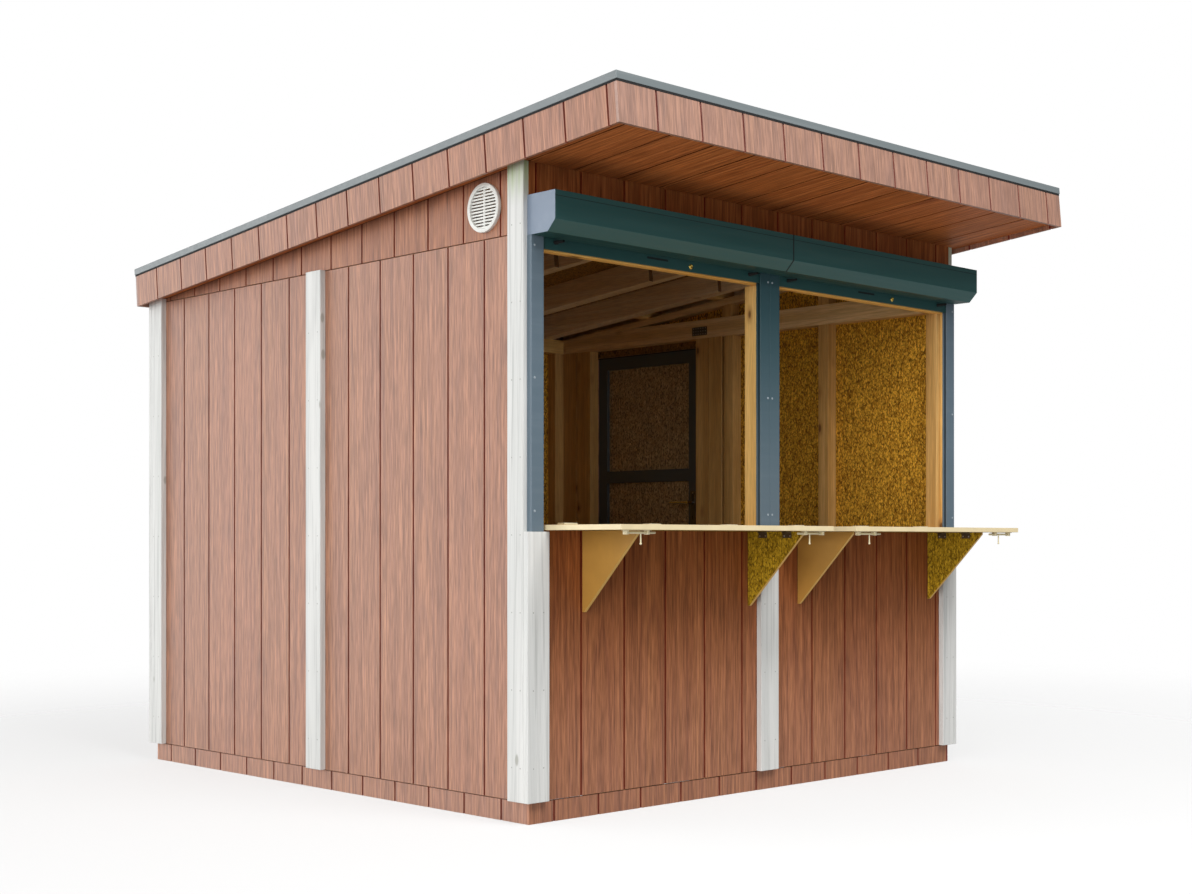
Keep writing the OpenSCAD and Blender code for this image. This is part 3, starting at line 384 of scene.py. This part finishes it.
for node in ("front_apron", "front_header"):
    eased(node, node + "_sheets", "cladding", stained_front, strand_wall_lit, ease=sheet_ease, inner=1)
eased("skirt_sides", "skirt_side_sheets", "cladding", stained_side_trim, ease=sheet_ease)
eased("skirt_ends", "skirt_end_sheets", "cladding", stained_end_trim, ease=sheet_ease)


# Corner boards and battens
# Planed softwood boards, painted white and nailed over the corners and the joints of the sheets.
# Grain and small knots show faintly through the paint, and the heads under the eaves are a little green.

def white_paint(name):
    """White paint on planed softwood with upright grain, green where the heads of the boards stay damp."""
    damp_foot, damp_head = 2.06, 2.21
    material, tree, shader = surface(name, 0.6, level=0.25)
    place = grain_place(tree, "Z")
    figure = effect_in(tree, timber, {"Vector": place, "Ring Gap": 0.012, "Wander": 0.06})
    branch = effect_in(tree, knots, {"Vector": place})
    base = tint(tree, figure["Shade"], paint(208, 209, 206), paint(223, 223, 220))
    lined = deepen(tree, base, span(tree, figure["Rings"], 0.6, 1.0, 1.0, 0.92))
    flecked = deepen(tree, lined, span(tree, figure["Streak"], 0.0, 0.4, 0.87, 1.01))
    knotted = tint(tree, sums(tree, "MULTIPLY", branch["Heart"], 0.6), flecked, paint(140, 138, 126))
    height = axes(tree, object_place(tree))[2]
    patches = span(tree, figure["Streak"], 0.1, 0.9, 0.4, 0.9)
    damp = sums(tree, "MULTIPLY", span(tree, height, damp_foot, damp_head), patches)
    greened = tint(tree, damp, knotted, paint(158, 176, 124))
    tree.links.new(greened, shader.inputs["Base Color"])
    relief(tree, shader, sums(tree, "ADD", figure["Fibre"], figure["Rings"]), 0.0006, 0.5)
    return material


white_board = white_paint("white painted boards")
for node in ("side_boards", "front_boards", "back_boards"):
    eased(node, node + "_painted", "white_boards", white_board, ease=0.0018)

# Heads of nails and screws: a low rim round a hollow, set on points and turned the way that each one faces
head_sides, mouth_share, hollow_share, floor_share = 12, 0.6, 0.8, 0.2
head_tree = bpy.data.node_groups.new("Fixing Heads", "GeometryNodeTree")
for label, kind in (("Places", "Geometry"), ("Radius", "Float"), ("Height", "Float"), ("Finish", "Material")):
    head_tree.interface.new_socket(label, in_out="INPUT", socket_type="NodeSocket" + kind)
head_tree.interface.new_socket("Heads", in_out="OUTPUT", socket_type="NodeSocketGeometry")
given = head_tree.nodes.new("NodeGroupInput").outputs
mouth = sums(head_tree, "MULTIPLY", given["Radius"], mouth_share)
rim = wire(head_tree, "GeometryNodeMeshCone",
           {"Vertices": head_sides, "Radius Top": mouth, "Radius Bottom": given["Radius"],
            "Depth": given["Height"]}, fill_type="NONE").outputs["Mesh"]
hollow_depth = sums(head_tree, "MULTIPLY", given["Height"], hollow_share)
hollow = wire(head_tree, "GeometryNodeMeshCone",
              {"Vertices": head_sides, "Radius Top": mouth, "Radius Bottom": 0.0, "Depth": hollow_depth},
              fill_type="NONE").outputs["Mesh"]
floor_rise = sums(head_tree, "MULTIPLY", given["Height"], floor_share)
lift = wire(head_tree, "CombineXYZ", {2: floor_rise}).outputs[0]
turned_in = wire(head_tree, "GeometryNodeFlipFaces", {0: hollow}).outputs[0]
lifted = wire(head_tree, "GeometryNodeTransform", {"Geometry": turned_in, "Translation": lift}).outputs[0]
head = wire(head_tree, "GeometryNodeJoinGeometry", {0: rim}).outputs[0]
head_tree.links.new(lifted, head.node.inputs[0])
facing = wire(head_tree, "GeometryNodeInputNamedAttribute", {"Name": "facing"},
              data_type="FLOAT_VECTOR").outputs[0]
turn = wire(head_tree, "FunctionNodeAlignRotationToVector", {"Vector": facing}, axis="Z").outputs[0]
placed = wire(head_tree, "GeometryNodeInstanceOnPoints",
              {"Points": given["Places"], "Instance": head, "Rotation": turn}).outputs[0]
whole = wire(head_tree, "GeometryNodeRealizeInstances", {0: placed}).outputs[0]
finished = wire(head_tree, "GeometryNodeSetMaterial",
                {"Geometry": whole, "Material": given["Finish"]}).outputs[0]
head_tree.links.new(finished, head_tree.nodes.new("NodeGroupOutput").inputs[0])


def fixings(name, body, finish, heads, radius, height):
    """One piece of nail or screw heads on a body, each with its place and the way that it faces."""
    points = bpy.data.meshes.new(name + "_places")
    points.from_pydata([place for place, _ in heads], [], [])
    ways = points.attributes.new("facing", "FLOAT_VECTOR", "POINT")
    for number, (_, way) in enumerate(heads):
        ways.data[number].vector = way
    holder = bpy.data.objects.new(name + "_places", points)
    bpy.context.scene.collection.objects.link(holder)
    made = holder.modifiers.new("heads", "NODES")
    made.node_group = head_tree
    for label, value in (("Radius", radius), ("Height", height), ("Finish", finish)):
        made[head_tree.interface.items_tree[label].identifier] = value
    ready = holder.evaluated_get(bpy.context.evaluated_depsgraph_get())
    piece = bpy.data.objects.new(name, bpy.data.meshes.new_from_object(ready))
    bpy.data.objects.remove(holder)
    fixed_on(piece, body)


def even_finish(name, colour, rough, metal=0.0):
    """A finish of one even colour, for small things."""
    material, tree, shader = surface(name, rough, metal)
    shader.inputs["Base Color"].default_value = colour
    return material


board_face_x, board_face_y = 1.204, 1.276
side_columns = (-1.236, -1.192, -0.03, 0.03, 1.192, 1.236)
end_columns = (-1.18, -1.135, -0.03, 0.03, 1.135, 1.18)
nail_foot, nail_gap = 0.19, 0.26
nail_rows = [nail_foot + nail_gap * row for row in range(8)]
nails = []
for side in (-1, 1):
    for y in side_columns:
        rows = nail_rows if abs(y) > 1 else nail_rows[:7]
        nails += [((side * board_face_x, y, z), (side, 0, 0)) for z in rows]
    for x in end_columns:
        rows = nail_rows[:3] if side < 0 else nail_rows[:7]
        nails += [((x, side * board_face_y, z), (0, side, 0)) for z in rows]
nail_paint = even_finish("painted nail heads", paint(160, 160, 154), 0.55)
fixings("board_nails", "hut", nail_paint, nails, radius=0.0024, height=0.0004)


# Wall frame
# Planed pine studs, plates and beams, screwed together between the sheets and left bare inside the hut.
# The header beam, the mullion and the jamb linings also show from outside, round the serving openings.

planed_ease = 0.002
pine_upright = pine("pine uprights", "Z", paint(238, 198, 124), paint(214, 168, 94))
pine_stud = pine("pine studs", "Z", paint(212, 168, 102), paint(186, 140, 76))
# The header beam's pine is painted paler and more golden, as painted light from below on its underside
pine_header_lit = pine("header pine painted lighter", "X", paint(255, 204, 116), paint(244, 176, 84))
pine_across = pine("pine along the width", "X", paint(238, 198, 124), paint(214, 168, 94))
for planed, members in ((pine_upright, ("mullion", "front_wall_studs", "jamb_linings")),
                        (pine_stud, ("side_wall_studs", "back_wall_studs")),
                        (pine_header_lit, ("header_beam",)),
                        (pine_across, ("back_wall_plates", "front_wall_beams", "sill_boards")),
                        (pine_deep, ("side_wall_plates", "gable_rails"))):
    for node in members:
        eased(node, node + "_planed", "pine", planed, ease=planed_ease)


# Roof
# Deep pine rafters run down the slope, held apart by rows of noggins, under a strand-board deck.
# Dark mineral felt covers the deck, and a small zinc plate is nailed over a joint of the frame inside.

pine_roof = pine("pine rafters", "Y", paint(246, 224, 188), paint(228, 198, 152))
# The rafters' end faces are dark as end grain and as painted shade
sawn_end_shaded = pine("sawn pine ends with painted shade", "Y", paint(128, 92, 56), paint(108, 74, 42))
rafters = eased("rafters", "rafters_planed", "pine", pine_roof, sawn_end_shaded, ease=planed_ease)
for face in rafters.data.polygons:
    face.material_index = 1 if abs(face.normal.y) > square_on else 0
eased("noggins", "noggins_planed", "pine", pine_across, ease=planed_ease)


def blocks(name, body, finish, boxes, place=Matrix.Identity(4)):
    """One piece of rectangular blocks on a body, each from its lowest to its highest corner, in a place."""
    work = bmesh.new()
    for low, high in boxes:
        low, high = Vector(low), Vector(high)
        fit = Matrix.Translation((low + high) / 2) @ Matrix.Diagonal((*(high - low), 1.0))
        bmesh.ops.create_cube(work, size=1.0, matrix=place @ fit)
    mesh = bpy.data.meshes.new(name)
    work.to_mesh(mesh)
    work.free()
    mesh.materials.append(finish)
    fixed_on(bpy.data.objects.new(name, mesh), body)


plate_zinc = even_finish("dull zinc nail plate", paint(96, 90, 80), 0.5, 1.0)
plate_face, plate_back = 1.109, 1.11
plate_columns = [0.141 + 0.016 * column for column in range(6)]
plate_rows = (1.958, 1.972, 1.986)
blocks("nail_plate", "hut", plate_zinc,
       [((plate_face, 0.13, 1.951), (plate_back, 0.231, 1.993))])
plate_nails = [((plate_face, y, z), (-1, 0, 0)) for y in plate_columns for z in plate_rows]
fixings("nail_plate_heads", "hut", nail_paint, plate_nails, radius=0.003, height=0.0006)
strand_roof = strand_board("strand board roof", "Y",
                           paint(186, 142, 74), paint(140, 100, 46), paint(74, 46, 18))
dress("roof_deck", strand_roof)


def mineral_felt(name):
    """Dark felt with a coat of fine slate grains, laid in strips that lap."""
    strip_width = 0.97
    material, tree, shader = surface(name, 0.9, level=0.3)
    place = object_place(tree)
    grains = wire(tree, "TexVoronoi", {"Vector": place, "Scale": 520.0}).outputs
    broad = cloud(tree, stretch(tree, place, (3.0, 3.0, 3.0)), 4.0)
    grain = wire(tree, "SeparateColor", {0: grains["Color"]}).outputs["Red"]
    toned = tint(tree, grain, paint(44, 46, 48), paint(86, 88, 90))
    shaded = deepen(tree, toned, span(tree, broad, 0.3, 0.7, 0.8, 1.1))
    strip = sums(tree, "DIVIDE", axes(tree, place)[0], strip_width)
    lap = span(tree, sums(tree, "PINGPONG", sums(tree, "ADD", strip, 0.3), 0.5), 0.004, 0.008, 1.0, 0.0)
    tree.links.new(tint(tree, lap, shaded, paint(24, 25, 26)), shader.inputs["Base Color"])
    relief(tree, shader, sums(tree, "SUBTRACT", grains["Distance"], lap), 0.0008, 0.6)
    return material


felt = mineral_felt("mineral felt")
dress("roof_covering", felt)


# Fascia and soffit
# Strips of the same stained plywood close the edges and the underside of the roof.
# Upright grooves run down the fascia, and the soffit's grooves run front to back.

pitch = math.radians(5.25)
roof_z = 2.1053
down_slope = (0, math.cos(pitch), -math.sin(pitch))
fascia_ease = 0.0003
# The fascias' pale mix is painted sheen, and the end fascia's stain is darkened to suit it
stained_fascia_end = stained("stained end fascia", across_end, upright, 0.137, painted_light=(0.32, 0.32), lift=0.88)
stained_fascia_side = stained("stained side fascia", down_slope, upright, 0.1 - roof_z * math.sin(pitch),
                              gloss=0.35, painted_light=(0.23, 0.23))
# The soffit's stain is lifted as painted light under the eaves, and its grooves are darkened much further
# with painted shade
stained_soffit_lit = stained("stained soffit with painted light", across_end, (0, 1, 0), 0.041, gloss=0.08, lift=1.56,
                         groove=paint(30, 14, 8))
eased("fascia_ends", "fascia_end_boards", "cladding", stained_fascia_end, ease=fascia_ease)
eased("fascia_sides", "fascia_side_boards", "cladding", stained_fascia_side, ease=fascia_ease)
eased("soffit_front", "soffit_front_boards", "cladding", stained_soffit_lit, ease=sheet_ease)
dress("soffit_edges", stained_soffit_lit)


# Roof edge trim
# Folded zinc-grey sheet steel, mitred at the corners and nailed over the edge of the felt.
# The felt's own edge is turned down behind it and shows as a thin black line, which also paints in the shade
# under the trim.

def coated(name, colour, rough, dust):
    """Smooth paint baked on metal, with faint streaks in its gloss."""
    material, tree, shader = surface(name, rough)
    place = object_place(tree)
    streak = cloud(tree, stretch(tree, place, (2.0, 60.0, 60.0)), 3.0)
    speck = cloud(tree, stretch(tree, place, (900.0, 900.0, 900.0)), 1.0)
    dusted = tint(tree, span(tree, streak, 0.45, 0.75, 0.0, 0.3), colour, dust)
    tree.links.new(dusted, shader.inputs["Base Color"])
    tree.links.new(span(tree, streak, 0.3, 0.7, rough - 0.06, rough + 0.08), shader.inputs["Roughness"])
    relief(tree, shader, speck, 0.0001, 0.3)
    return material


trim_steel = coated("zinc grey trim", paint(112, 120, 122), 0.42, paint(126, 132, 134))
eased("roof_trim", "roof_trim_folded", "edge_metal", trim_steel, ease=0.0012)
# The black strip is the felt's edge and painted shade under the trim
felt_edge_and_shade = even_finish("black felt edge and painted shade", paint(16, 16, 17), 0.8)
edge_x, edge_front, edge_back, edge_foot, edge_top = 1.252, -1.777, 1.298, 0.113, 0.1205
edge_out = 0.0012
edge_strips = [((-edge_x - edge_out, edge_front, edge_foot), (-edge_x, edge_back, edge_top)),
               ((edge_x, edge_front, edge_foot), (edge_x + edge_out, edge_back, edge_top)),
               ((-edge_x, edge_front - edge_out, edge_foot), (edge_x, edge_front, edge_top)),
               ((-edge_x, edge_back, edge_foot), (edge_x, edge_back + edge_out, edge_top))]
on_slope = Matrix.Translation((0, 0, roof_z)) @ Matrix.Rotation(-pitch, 4, "X")
blocks("felt_edge_turned_down", "hut", felt_edge_and_shade, edge_strips, on_slope)


# Roller shutters
# Two aluminium boxes painted dark teal hold the rolled curtains, each between two guide rails.
# The last slat of each curtain hangs just below its box.

shutter_paint = coated("dark teal shutter paint", paint(36, 78, 77), 0.4, paint(48, 90, 89))
# The sloped underside of the boxes takes a lighter copy of the teal, painted light
chamfer_paint_lit = coated("teal under the boxes, painted lighter", paint(40, 88, 87), 0.4, paint(54, 98, 97))
# The outer end caps are painted pale grey-blue, as painted sheen from the light on the left
cap_paint_sheen = coated("end caps painted grey-blue with sky sheen", paint(124, 138, 156), 0.5, paint(130, 144, 160))
cap_from = 1.1
for node in ("shutter_box_left", "shutter_box_right"):
    box = eased(node, node + "_cover", "shutter_metal", shutter_paint, chamfer_paint_lit, cap_paint_sheen, ease=0.0015)
    for face in box.data.polygons:
        sloped = face.normal.y < -0.5 and face.normal.z < -0.5
        outer = abs(face.normal.x) > square_on and abs(face.center.x) > cap_from
        face.material_index = 2 if outer else 1 if sloped else 0

# The middle rails are painted a darker teal towards the boxes: painted shade under the boxes and the eaves
rail_paint = coated("grey-blue rail paint", paint(96, 113, 125), 0.4, paint(108, 124, 135))
tree = rail_paint.node_tree
x, y, z = axes(tree, object_place(tree))
shade = sums(tree, "MULTIPLY", span(tree, sums(tree, "ABSOLUTE", x), 0.06, 0.1, 1.0, 0.0),
             span(tree, z, 1.0, 1.95, 0.05, 0.9))
shader = tree.nodes["Principled BSDF"]
unshaded = shader.inputs["Base Color"].links[0].from_socket
tree.links.new(tint(tree, shade, unshaded, paint(30, 68, 74)), shader.inputs["Base Color"])
eased("shutter_rails", "shutter_rails_drawn", "shutter_metal", rail_paint, ease=0.0012)
eased("shutter_end_slats", "shutter_end_slats_drawn", "shutter_metal", shutter_paint, ease=0.0012)

# Thin dark strips of painted shade stand for a seam near the top of each box, a joint between the boxes and a
# finger slot in each end slat
seam_shade = even_finish("painted shade in seams and slots", paint(9, 22, 24), 0.7)
mark_thick = 0.0004
box_front, slat_front, rail_front = -1.395, -1.2685, -1.276
box_foot, box_bevel, box_top = 1.970, 0.038, 2.105
box_middles = (-0.594, 0.594)
seam_half, seam_foot, seam_top = 0.592, 2.085, 2.0866
slot_half, slot_foot, slot_top = 0.052, 1.9545, 1.962
joint_half = 0.003
marks = []
for middle in box_middles:
    marks.append(((middle - seam_half, box_front - mark_thick, seam_foot),
                  (middle + seam_half, box_front, seam_top)))
    marks.append(((middle - slot_half, slat_front - mark_thick, slot_foot),
                  (middle + slot_half, slat_front, slot_top)))
marks.append(((-joint_half, box_front - mark_thick, box_foot + box_bevel), (joint_half, box_front, box_top)))
blocks("shutter_seams", "hut", seam_shade, marks)
joint_turn = Matrix.Rotation(math.radians(45), 4, "X")
joint_place = Matrix.Translation((0, box_front, box_foot + box_bevel)) @ joint_turn
joint_long = box_bevel * math.sqrt(2)
blocks("shutter_box_joint", "hut", seam_shade,
       [((-joint_half, -mark_thick, -joint_long), (joint_half, 0.0, 0.0))], joint_place)

# Rubber stops and key locks on the end slats, and screws in the rails
forward = (0, -1, 0)
stop_rubber = even_finish("black rubber stops", paint(14, 15, 16), 0.8)
stop_out, stop_z = 0.484, 1.957
stops = [((middle + way * stop_out, slat_front, stop_z), forward)
         for middle in box_middles for way in (-1, 1)]
fixings("shutter_stops", "hut", stop_rubber, stops, radius=0.007, height=0.045)
lock_brass = even_finish("brass key locks", paint(226, 190, 96), 0.3, 1.0)
lock_out, lock_z = 0.17, 1.9505
locks = [((middle + lock_out, slat_front, lock_z), forward) for middle in box_middles]
fixings("shutter_locks", "hut", lock_brass, locks, radius=0.0095, height=0.004)
rail_screw_paint = even_finish("painted rail screws", paint(150, 162, 170), 0.4)
rail_columns = (-1.174, -0.012, 0.012, 1.174)
rail_rows = (1.05, 1.495, 1.937)
rail_screws = [((x, rail_front, z), forward) for x in rail_columns for z in rail_rows]
fixings("rail_screws", "hut", rail_screw_paint, rail_screws, radius=0.0045, height=0.0015)


# Vent
# A round white plastic grille with level slats lets air in under the roof.
# It is moulded in one piece and pushed into a hole in the left gable.

def moulded(name, colour):
    """Moulded plastic with a faint grain."""
    material, tree, shader = surface(name, 0.45)
    place = object_place(tree)
    grain = cloud(tree, stretch(tree, place, (1500.0, 1500.0, 1500.0)), 2.0)
    shade = cloud(tree, stretch(tree, place, (14.0, 14.0, 14.0)), 3.0)
    shaded = deepen(tree, colour, span(tree, shade, 0.3, 0.7, 0.94, 1.02))
    tree.links.new(shaded, shader.inputs["Base Color"])
    relief(tree, shader, grain, 0.0001, 0.4)
    return material


vent_plastic = moulded("white vent plastic", paint(226, 226, 220))
eased("vent_grille", "vent_grille_moulded", "vent_plastic", vent_plastic, ease=0.0012, smooth=True)


# Door
# A dark painted frame of flat boards carries a sheet of the wall's own cladding on its outer face.
# It hangs on three steel hinges and has a bright lever with long plates on both sides.

door_paint = coated("dark door frame paint", paint(70, 76, 78), 0.5, paint(80, 86, 86))
eased("door_frame", "door_frame_painted", "door_frame_paint", door_paint, ease=0.0015)
seal_rubber = even_finish("black door seal", paint(14, 14, 14), 0.8)
blocks("door_head_seal", "hut", seal_rubber,
       [((1.1695, 0.262, 1.8957), (1.1795, 0.979, 1.8999))])
strand_door = strand_board("strand board in the door", "Z",
                           paint(206, 178, 132), paint(164, 134, 92), paint(80, 60, 38))
eased("door_panel", "door_panel_sheet", "cladding", stained_side, strand_door, ease=sheet_ease, inner=0)


def bright_steel(name, colour, rough):
    """Bare or plated steel with fine scratches."""
    material, tree, shader = surface(name, rough, 1.0)
    scratch = cloud(tree, stretch(tree, object_place(tree), (40.0, 900.0, 900.0)), 3.0)
    scratched = deepen(tree, colour, span(tree, scratch, 0.3, 0.7, 0.86, 1.05))
    tree.links.new(scratched, shader.inputs["Base Color"])
    tree.links.new(span(tree, scratch, 0.3, 0.7, rough - 0.06, rough + 0.1), shader.inputs["Roughness"])
    return material


plated_steel = bright_steel("plated steel", paint(198, 198, 196), 0.3)
plate_steel = bright_steel("dull door plates", paint(112, 112, 110), 0.4)
lever_steel = bright_steel("polished lever", paint(236, 236, 232), 0.14)
for node, steel in (("door_plates", plate_steel), ("door_lever", lever_steel), ("door_hinges", plated_steel)):
    eased(node, node + "_plated", "steel", steel, ease=0.001, smooth=True)

# Screws in each lever plate, and a keyhole in each, drawn as a thin dark block of painted shade
screw_steel = even_finish("bright screw heads", paint(206, 206, 202), 0.3, 1.0)
key_shade = even_finish("painted shade in keyholes", paint(12, 12, 12), 0.8)
plate_faces = ((1.203, 1), (1.165, -1))
plate_y = 0.282
plate_screws = [((x, plate_y, z), (way, 0, 0)) for x, way in plate_faces for z in (1.02, 1.188)]
fixings("door_plate_screws", "door", screw_steel, plate_screws, radius=0.004, height=0.0008)
key_half, key_foot, key_top = 0.0025, 1.058, 1.075
keyholes = []
for face_x, way in plate_faces:
    near, far = sorted((face_x, face_x + way * mark_thick))
    keyholes.append(((near, plate_y - key_half, key_foot), (far, plate_y + key_half, key_top)))
blocks("door_keyholes", "door", key_shade, keyholes)

# Screws in the two leaves of each hinge
hinge_feet = (0.255, 0.9525, 1.65)
for name, body, face_x, columns, rises in (
        ("door_hinge_post_screws", "hut", 1.183, (0.994, 1.011), (0.011, 0.034)),
        ("door_hinge_leaf_screws", "door", 1.202, (0.939, 0.957), (0.056, 0.079))):
    heads = [((face_x, y, foot + rise), (1, 0, 0)) for foot in hinge_feet for y in columns for rise in rises]
    fixings(name, body, screw_steel, heads, radius=0.0042, height=0.0008)


# Counter flaps
# Two strand-board flaps, faced with tan film on top and cream tape round the edges, hang on white hinges.
# Each rests on two folding brackets and is held shut by two slide bolts.

def faced(piece, axis, way):
    """Puts the second finish on the faces that look one way along an axis, the third on the opposite ones."""
    for face in piece.data.polygons:
        turned = face.normal[axis] * way
        face.material_index = 1 if turned > square_on else 2 if turned < -square_on else 0


flap_film = moulded("tan flap film", paint(206, 172, 116))
flap_tape = moulded("cream edge tape", paint(232, 214, 172))
strand_flap = strand_board("strand board flaps", "X",
                           paint(184, 150, 62), paint(138, 106, 32), paint(76, 54, 14))
hinge_white = moulded("white hinge paint", paint(216, 204, 170))
eased("counter_hinges", "counter_hinges_painted", "cream_steel", hinge_white, ease=0.001, smooth=True)
for node in ("flap_left", "flap_right"):
    flap = eased(node, node + "_board", "flap_board", flap_tape, flap_film, strand_flap, ease=0.001)
    faced(flap, axis=2, way=1)

# Triangular brackets, with film on the outer face and bare strand board on the other
strand_bracket = strand_board("strand board brackets", "Z",
                              paint(216, 176, 46), paint(158, 122, 22), paint(70, 48, 8))
bracket_film = moulded("tan bracket film", paint(192, 143, 66))
bracket_tape = moulded("golden bracket edges", paint(214, 170, 84))
for number, outer in enumerate((-1, 1, -1, 1), start=1):
    node = f"bracket_{number}"
    bracket = eased(node, node + "_board", "flap_board", bracket_tape, bracket_film, strand_bracket,
                    ease=0.0008)
    faced(bracket, axis=0, way=outer)
dark_steel = bright_steel("dark hinge steel", paint(122, 112, 92), 0.5)
for node in ("bracket_hinges_left", "bracket_hinges_right"):
    eased(node, node + "_rolled", "dark_steel", dark_steel, ease=0.0006, smooth=True)

# Two hinges to a bracket, each with one leaf hung on the bracket's face and one screwed up under the flap
leaf_feet = (-1.477, -1.356)
leaf_long, leaf_tall, leaf_thick = 0.044, 0.018, 0.001
hung_top, hung_hole_z = 0.979, 0.969
top_foot, top_head, top_out, top_hole_out = 0.985, 0.986, 0.0068, 0.016
leaf_holes = (0.008, 0.036)
for number, (face_x, way) in enumerate(((-0.933, 1), (-0.106, -1), (0.193, 1), (1.022, -1)), start=1):
    hung_leaves, top_leaves, hung_screws, top_screws = [], [], [], []
    for foot in leaf_feet:
        near, far = sorted((face_x, face_x + way * leaf_thick))
        hung_leaves.append(((near, foot, hung_top - leaf_tall), (far, foot + leaf_long, hung_top)))
        near, far = sorted((face_x + way * top_out, face_x + way * (top_out + leaf_tall)))
        top_leaves.append(((near, foot, top_foot), (far, foot + leaf_long, top_head)))
        for along in leaf_holes:
            hung_screws.append(((face_x + way * leaf_thick, foot + along, hung_hole_z), (way, 0, 0)))
            top_screws.append(((face_x + way * top_hole_out, foot + along, top_foot), (0, 0, -1)))
    bracket_body = f"folding_bracket_{number}"
    counter = "left_counter" if number < 3 else "right_counter"
    blocks(f"bracket_{number}_hung_leaves", bracket_body, dark_steel, hung_leaves)
    blocks(f"bracket_{number}_top_leaves", counter, dark_steel, top_leaves)
    for place, body, heads in (("hung", bracket_body, hung_screws), ("top", counter, top_screws)):
        fixings(f"bracket_{number}_{place}_screws", body, screw_steel, heads,
                radius=0.0032, height=0.0005)

# Slide bolts in guides under the flaps
cream_steel = coated("cream bolt paint", paint(226, 214, 176), 0.42, paint(206, 194, 156))
for node in ("bolt_plates_left", "bolt_plates_right", "bolt_rod_1", "bolt_rod_2", "bolt_rod_3", "bolt_rod_4"):
    eased(node, node + "_painted", "cream_steel", cream_steel, ease=0.0006, smooth=True)


# Studio
# A pale floor that fades out, soft light from a white room, a broad lamp above the front, a weak strip of
# light inside the hut, two far lights from the left, and a camera at the place of the photograph.

floor_reach = 14.0
floor_mesh = bpy.data.meshes.new("studio_floor")
corners = [(-floor_reach, -floor_reach, 0), (floor_reach, -floor_reach, 0),
           (floor_reach, floor_reach, 0), (-floor_reach, floor_reach, 0)]
floor_mesh.from_pydata(corners, [], [(0, 1, 2, 3)])
floor = bpy.data.objects.new("studio_floor", floor_mesh)
bpy.context.scene.collection.objects.link(floor)
floor_paint, tree, shader = surface("pale studio floor", 0.9, level=0.1)
shader.inputs["Base Color"].default_value = (0.9, 0.9, 0.9, 1.0)
away = wire(tree, "VectorMath", {0: object_place(tree)}, operation="LENGTH").outputs["Value"]
tree.links.new(span(tree, away, 2.0, 7.0, 0.36, 0.0), shader.inputs["Alpha"])
floor_mesh.materials.append(floor_paint)

world = bpy.data.worlds.new("white studio")
world.use_nodes = True
bpy.context.scene.world = world
tree = world.node_tree
seen = wire(tree, "LightPath").outputs["Is Camera Ray"]
direction = wire(tree, "TexCoord").outputs["Generated"]
lit_side = along_way(tree, direction, (-0.5, 0.4, 0.75))
sky = span(tree, lit_side, -0.6, 0.6, 0.1, 0.55)
rise = axes(tree, direction)[2]
glow = wire(tree, "Mix", {0: span(tree, rise, -0.3, 0.0, 1.0, 0.0), 2: sky, 3: 0.36}).outputs[0]
shown = wire(tree, "Mix", {0: seen, 2: glow, 3: 1.0}).outputs[0]
tree.links.new(shown, tree.nodes["Background"].inputs["Strength"])
tree.nodes["Background"].inputs["Color"].default_value = (1.0, 1.0, 1.0, 1.0)


def turned(name, light, way):
    """Puts a light in the scene, turned so that it shines one way."""
    holder = bpy.data.objects.new(name, light)
    holder.rotation_euler = Vector(way).to_track_quat("-Z", "Y").to_euler()
    bpy.context.scene.collection.objects.link(holder)
    return holder


def lamp(name, place, aim, size, power, colour=(1.0, 1.0, 1.0), length=0.0):
    """A soft lamp aimed at a point, round or as a strip of a length, that doesn't show itself."""
    strip_spread = math.radians(50)
    light = bpy.data.lights.new(name, "AREA")
    light.shape = "RECTANGLE" if length else "DISK"
    light.size = length or size
    if length:
        light.size_y = size
        light.spread = strip_spread
    light.energy = power
    light.color = colour
    holder = turned(name, light, Vector(aim) - Vector(place))
    holder.visible_camera = False
    holder.location = place


def far_light(name, way, spread, power):
    """Even soft light from far away, given the way that it travels."""
    light = bpy.data.lights.new(name, "SUN")
    light.energy = power
    light.angle = math.radians(spread)
    turned(name, light, way)


lamp("front_lamp", (-0.9, -5.5, 6.3), aim=(0.0, -1.2, 1.4), size=4.6, power=405)
lamp("room_lamp", (0.0, -1.1, 1.5), aim=(0.0, 1.0, 1.45), size=0.6, power=1.8, colour=(0.94, 0.96, 1.0),
     length=2.0)
far_light("left_light", (0.92, 0.38, -0.1), spread=40, power=1.35)
far_light("left_back_light", (0.55, -0.84, -0.15), spread=50, power=1.35)

camera_place = (-4.9053, -5.6742, 0.948)
camera_turn = math.radians(-45.62)
lens = bpy.data.cameras.new("photo_camera")
lens.sensor_width = 36.0
lens.lens = 52.04
lens.shift_x = -0.083
lens.shift_y = 0.0793
camera = bpy.data.objects.new("photo_camera", lens)
camera.location = camera_place
camera.rotation_euler = (math.radians(90), 0.0, camera_turn)
bpy.context.scene.collection.objects.link(camera)
bpy.context.scene.camera = camera
bpy.context.scene.view_settings.view_transform = "Standard"
